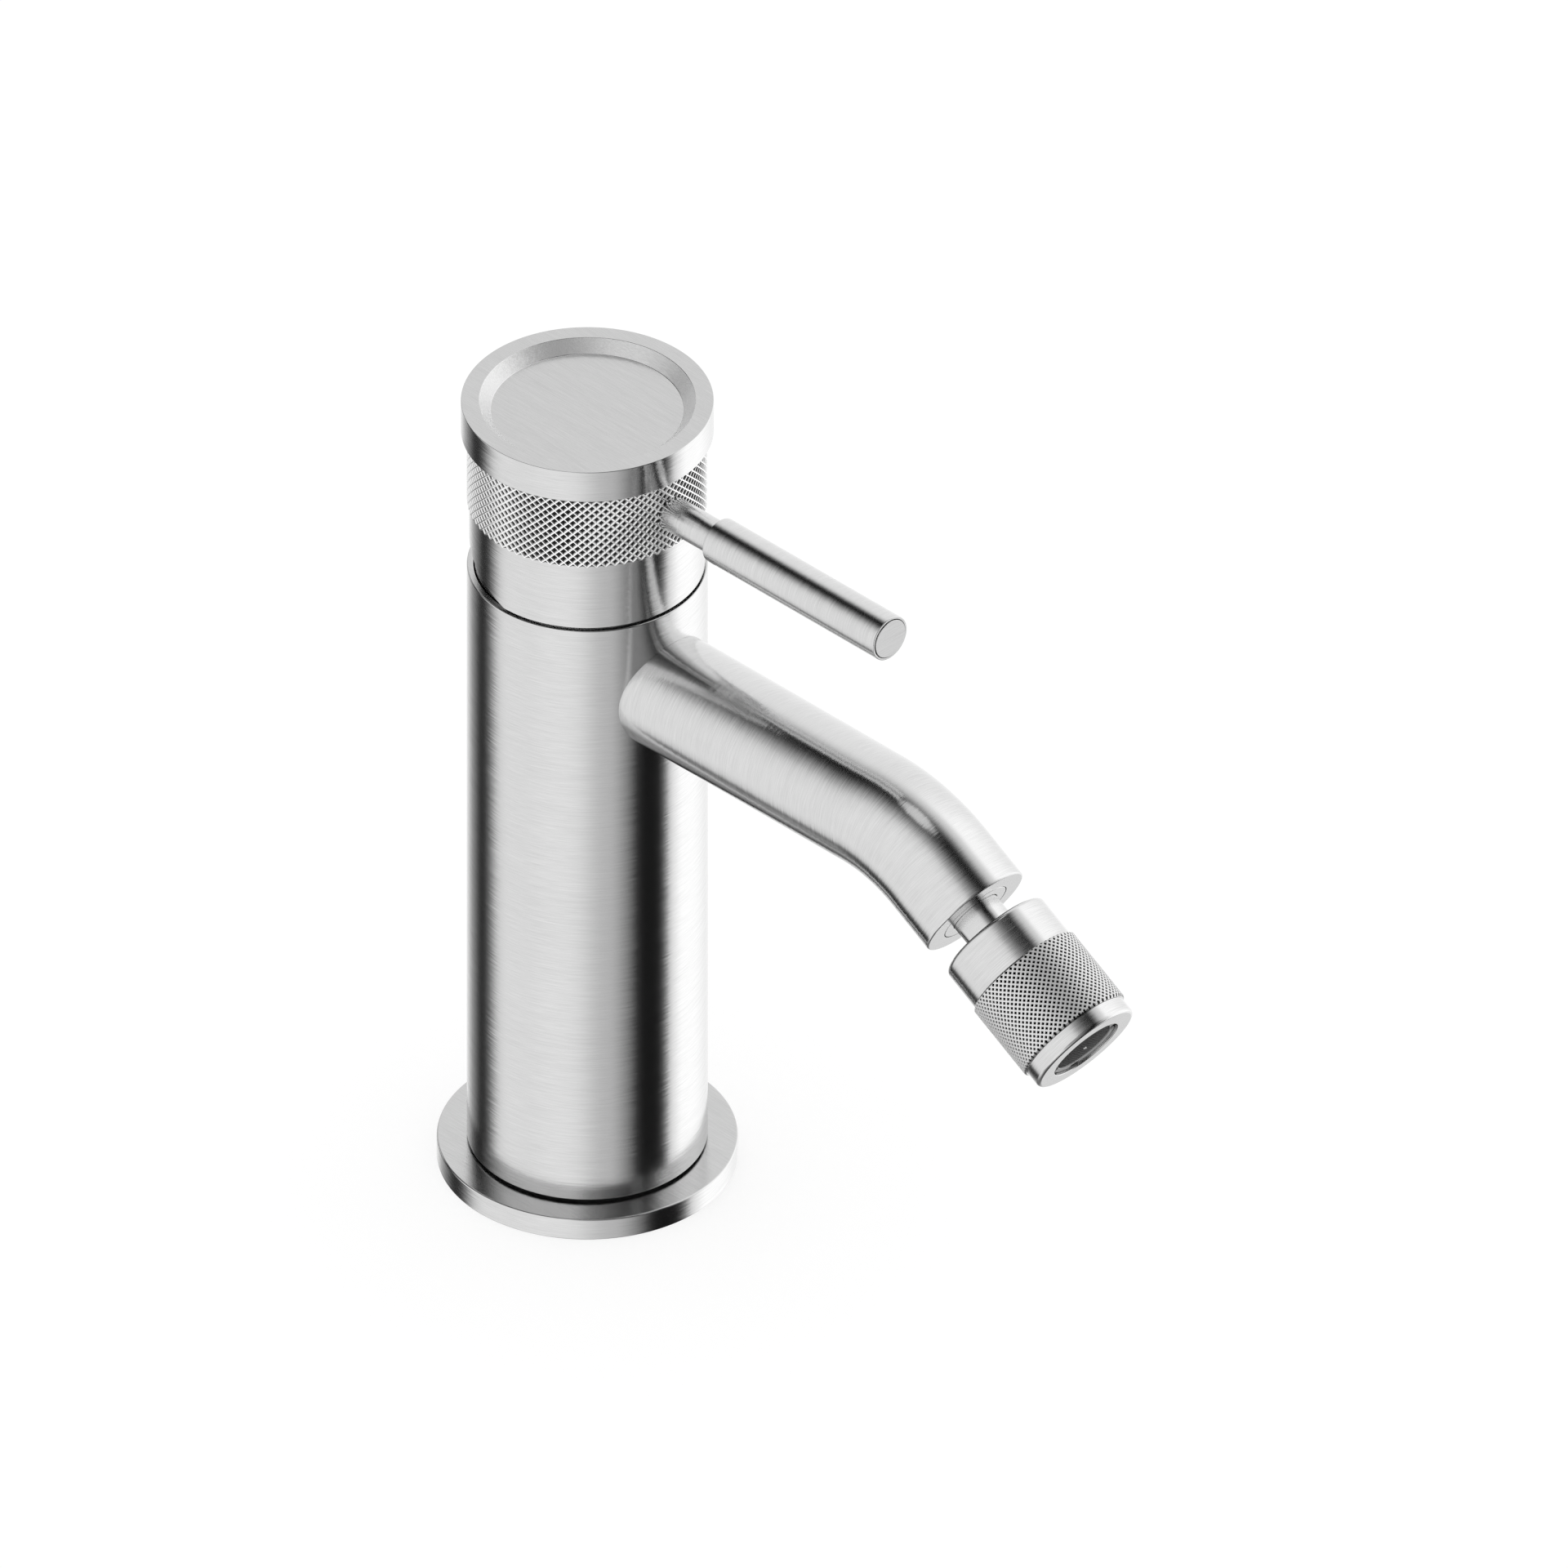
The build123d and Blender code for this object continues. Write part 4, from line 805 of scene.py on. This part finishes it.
spout = {"height": 103.5, "radius": 10.0, "bore": 8.5, "level": 67.0, "bend": 31.5, "slope": 30.0,
         "straight": 9.6, "root": 20.02, "pocket": 6.52, "wall": 3.0, "edge": 0.3, "edgeSteps": 5,
         "levelRings": [26.0, 40.0, 54.0], "bendSteps": 24, "lastRing": 0.4}
slope = radians(spout["slope"])
endAt = (0.0, -(spout["level"] + spout["bend"] * sin(slope) + spout["straight"] * cos(slope)),
         spout["height"] - spout["bend"] * (1 - cos(slope)) - spout["straight"] * sin(slope))
bendLength = spout["bend"] * slope
wholeLength = spout["level"] + bendLength + spout["straight"]


def spoutLine(run):
    # place and slope of the spout's axis after a run from the column's axis
    if run <= spout["level"]:
        return run, spout["height"], 0.0
    lean = min((run - spout["level"]) / spout["bend"], slope)
    rest = max(run - spout["level"] - bendLength, 0.0)
    ahead = spout["level"] + spout["bend"] * sin(lean) + rest * cos(lean)
    return ahead, spout["height"] - spout["bend"] * (1 - cos(lean)) - rest * sin(lean), lean


def bentTube(name, segments=192):
    bm = bmesh.new()
    unbent = bm.verts.layers.float_vector.new("unbent")
    steps = spout["bendSteps"]
    runs = spout["levelRings"] + [spout["level"]]
    runs += [spout["level"] + bendLength * step / steps for step in range(1, steps + 1)]
    runs += [wholeLength - spout["edge"] - spout["lastRing"]]
    inward = wholeLength - spout["wall"]
    stations = [("root", spout["radius"])] + [(run, spout["radius"]) for run in runs]
    for step in range(spout["edgeSteps"] + 1):
        turn = radians(90 * step / spout["edgeSteps"])
        stations.append((wholeLength - spout["edge"] * (1 - sin(turn)),
                         spout["radius"] - spout["edge"] * (1 - cos(turn))))
    stations += [(wholeLength, spout["pocket"]), (inward, spout["pocket"])]
    stations += [(inward, spout["bore"])]
    stations += [(run, spout["bore"]) for run in reversed(runs) if run < inward - 0.1]
    stations += [("root", spout["bore"])]
    rings = []
    for run, radius in stations:
        ring = []
        for step in range(segments):
            turn = 2 * pi * step / segments
            here = run
            if run == "root":  # where the tube meets the round column
                here = sqrt(spout["root"] ** 2 - (radius * cos(turn)) ** 2)
            ahead, height, lean = spoutLine(here)
            rise = radius * sin(turn)
            vert = bm.verts.new((radius * cos(turn) * mm, (height + rise * cos(lean)) * mm,
                                 (ahead + rise * sin(lean)) * mm))
            vert[unbent] = Vector((radius * cos(turn), rise, here)) * mm
            ring.append(vert)
        rings.append(ring)
    for ring, other in zip(rings, rings[1:] + rings[:1]):
        for step in range(segments):
            after = (step + 1) % segments
            bm.faces.new((ring[step], ring[after], other[after], other[step]))
    bmesh.ops.recalc_face_normals(bm, faces=bm.faces)
    return newObject(name, bm)


piece = bentTube("spout_dressed")
smooth(piece, flat=(0.0, -sin(slope), cos(slope)))
seat(piece, "root", "spout_tube", [spoutBrushed, faceAcross], slope=0.0,
     facing=0.8)

insert = {"radius": 6.4, "hole": 4.48, "thick": 2.9, "edge": 0.1, "holeEdge": 0.15}
piece = lathe("spout_insert_dressed", rounded([
    (insert["hole"], -insert["thick"]), (insert["radius"], -insert["thick"]),
    (insert["radius"], 0.0, insert["edge"]), (insert["hole"], 0.0, insert["holeEdge"]),
]), segments=128)
smooth(piece)
seat(piece, "root", "spout_insert", [roundBrushed, faceAcross], endAt,
     spout["slope"])
print("spout bent")

# Heights from here on run from the spout's end along the nozzle.
ball = {"neck": 4.4, "back": -1.2, "radius": 7.0, "centre": 10.0, "cutOff": 15.0, "steps": 40}
neckMeets = ball["centre"] - sqrt(ball["radius"] ** 2 - ball["neck"] ** 2)
piece = lathe("ball_stem_dressed",
              [(0.0, ball["back"]), (ball["neck"], ball["back"])]
              + arcPoints(ball["radius"], ball["centre"], neckMeets, ball["cutOff"], ball["steps"])
              + [(0.0, ball["cutOff"])], segments=128)
smooth(piece)
seat(piece, "ball", "ball_stem", [turned], endAt, spout["slope"])

nozzle = {"radius": 10.0, "start": 5.0, "knurlStart": 13.0, "knurlEnd": 27.0, "end": 30.0,
          "mouth": 6.6, "neckEnd": 7.0, "boreStart": 8.0, "bodyBore": 8.6, "ringBore": 7.1,
          "lip": 29.0, "rearEdge": 0.8, "frontEdge": 0.6, "stepEdge": 0.1, "rearMouthEdge": 0.2,
          "mouthEdge": 0.12}
piece = lathe("nozzle_body_dressed", rounded([
    (nozzle["mouth"], nozzle["start"], nozzle["rearMouthEdge"]),
    (nozzle["mouth"], nozzle["neckEnd"]), (nozzle["bodyBore"], nozzle["boreStart"]),
    (nozzle["bodyBore"], nozzle["knurlStart"]),
    (nozzle["radius"], nozzle["knurlStart"], nozzle["stepEdge"]),
    (nozzle["radius"], nozzle["start"], nozzle["rearEdge"]),
]))
smooth(piece)
seat(piece, "nozzle", "nozzle_body", [roundBrushed, faceAcross], endAt,
     spout["slope"])

sleeve = {"radius": 10.5, "bore": 8.65, "start": 13.0, "length": 14.0, "around": 62,
          "rise": 1.0133, "ridge": 0.36, "crown": 0.012, "floor": 0.34, "depth": 0.26,
          "chamfer": 0.3, "sharp": 27.0}
piece = knurlBand("nozzle_sleeve_dressed", sleeve)
seat(piece, "nozzle", "nozzle_sleeve", [knurledSleeve, turned], endAt,
     spout["slope"], facing=0.69)

piece = lathe("nozzle_ring_dressed", rounded([
    (nozzle["ringBore"], nozzle["knurlEnd"]),
    (nozzle["radius"], nozzle["knurlEnd"], nozzle["stepEdge"]),
    (nozzle["radius"], nozzle["end"], nozzle["frontEdge"]),
    (nozzle["mouth"], nozzle["end"], nozzle["mouthEdge"]),
    (nozzle["mouth"], nozzle["lip"]), (nozzle["ringBore"], nozzle["lip"]),
]))
smooth(piece)
seat(piece, "nozzle", "nozzle_ring", [roundBrushed, faceAcross], endAt,
     spout["slope"])

rivet = {"radius": 0.3, "proud": 0.12}
weave = {"radius": 5.42, "centre": 29.15, "dome": 0.3, "pitch": 0.34, "wire": 0.08, "swing": 0.08,
         "sides": 5, "waveSteps": 4}


def wovenMesh(name):
    # wires both ways, over and under each other, on a shallow dome with a rivet at its middle
    bm = bmesh.new()
    count = int(weave["radius"] / weave["pitch"])
    for lengthways in (0, 1):
        for number in range(-count, count + 1):
            side = number * weave["pitch"]
            half = sqrt(max(weave["radius"] ** 2 - side ** 2, 0.0)) - weave["wire"]
            if half < weave["pitch"]:
                continue
            steps = max(int(2 * half / weave["pitch"] * weave["waveSteps"]), weave["waveSteps"])
            rings = []
            for step in range(steps + 1):
                run = -half + 2 * half * step / steps
                wave = cos(pi * (run / weave["pitch"] + number + lengthways))
                ring = []
                for facet in range(weave["sides"]):
                    turn = 2 * pi * facet / weave["sides"]
                    out = side + weave["wire"] * cos(turn)
                    bulge = weave["dome"] * (1 - (run ** 2 + out ** 2) / weave["radius"] ** 2)
                    height = weave["centre"] + bulge + weave["swing"] * wave
                    height += weave["wire"] * sin(turn)
                    spot = (run, out, height) if lengthways else (out, run, height)
                    ring.append(bm.verts.new(Vector(spot) * mm))
                rings.append(ring)
            for ring, other in zip(rings, rings[1:]):
                for facet in range(weave["sides"]):
                    after = (facet + 1) % weave["sides"]
                    bm.faces.new((ring[facet], ring[after], other[after], other[facet]))
            bm.faces.new(rings[0])
            bm.faces.new(rings[-1])
    wires = len(bm.faces)
    top = (weave["centre"] + weave["dome"] + rivet["proud"]) * mm
    bmesh.ops.create_icosphere(bm, subdivisions=3, radius=rivet["radius"] * mm,
                               matrix=Matrix.Translation((0.0, 0.0, top)))
    bm.faces.ensure_lookup_table()
    for face in bm.faces[wires:]:
        face.material_index = 1
    bmesh.ops.recalc_face_normals(bm, faces=bm.faces)
    return newObject(name, bm)


piece = wovenMesh("aerator_mesh_dressed")
piece.data.shade_smooth()
seat(piece, "nozzle", "aerator_screen", [plainFinishes["steel_mesh"]], endAt,
     spout["slope"])
piece.data.materials.append(turned)  # for the rivet

aerator = {"radius": 7.03, "start": 20.0, "shoulder": 29.0, "snout": 6.42, "front": 29.5,
           "window": 5.49, "floor": 28.6, "edge": 0.08, "windowEdge": 0.1,
           "slots": (24.0, -83.0, -150.0, 110.0), "slotWide": 1.9, "slotDeep": 0.85,
           "slotTall": 3.0, "slotBack": 0.3, "slotPast": 1.0}
piece = lathe("aerator_housing_dressed", rounded([
    (0.0, aerator["start"]), (aerator["radius"], aerator["start"]),
    (aerator["radius"], aerator["shoulder"]), (aerator["snout"], aerator["shoulder"]),
    (aerator["snout"], aerator["front"], aerator["edge"]),
    (aerator["window"], aerator["front"], aerator["windowEdge"]),
    (aerator["window"], aerator["floor"]), (0.0, aerator["floor"]),
], closed=False), segments=128)
slotEnd = aerator["radius"] + aerator["slotPast"]
slotLong = slotEnd - aerator["snout"] + aerator["slotDeep"]
slotSizes = (slotLong, aerator["slotWide"], aerator["slotTall"], 1.0)
slotMiddle = (aerator["snout"] - aerator["slotDeep"] + slotEnd) / 2
slotAt = (slotMiddle * mm, 0.0, (aerator["front"] - aerator["slotBack"]) * mm)
for turn in aerator["slots"]:
    bm = bmesh.new()
    bmesh.ops.create_cube(bm, size=mm)
    placed = Matrix.Translation(slotAt) @ Matrix.Diagonal(slotSizes)
    swung = Matrix.Rotation(radians(turn), 4, "Z") @ placed  # round the nozzle's axis
    bmesh.ops.transform(bm, matrix=swung, verts=bm.verts)
    carve(piece, newObject("slotCutter", bm))
smooth(piece, angle=30.0)
seat(piece, "nozzle", "aerator_housing", [housingFinish], endAt, spout["slope"])
print("nozzle made")

# The pieces that nothing here replaces keep the shape of their solids.
slotOf = {row["node"]: row["material_slot"] for row in frame["record"]["subparts"]}
for name, solid in frame["nodes"].items():
    if solid.hide_render:
        continue
    finish = plainFinishes[slotOf[name]]
    if len(solid.material_slots) == 0:
        solid.data.materials.append(finish)
    for place in solid.material_slots:
        place.material = finish
print("inner pieces finished")
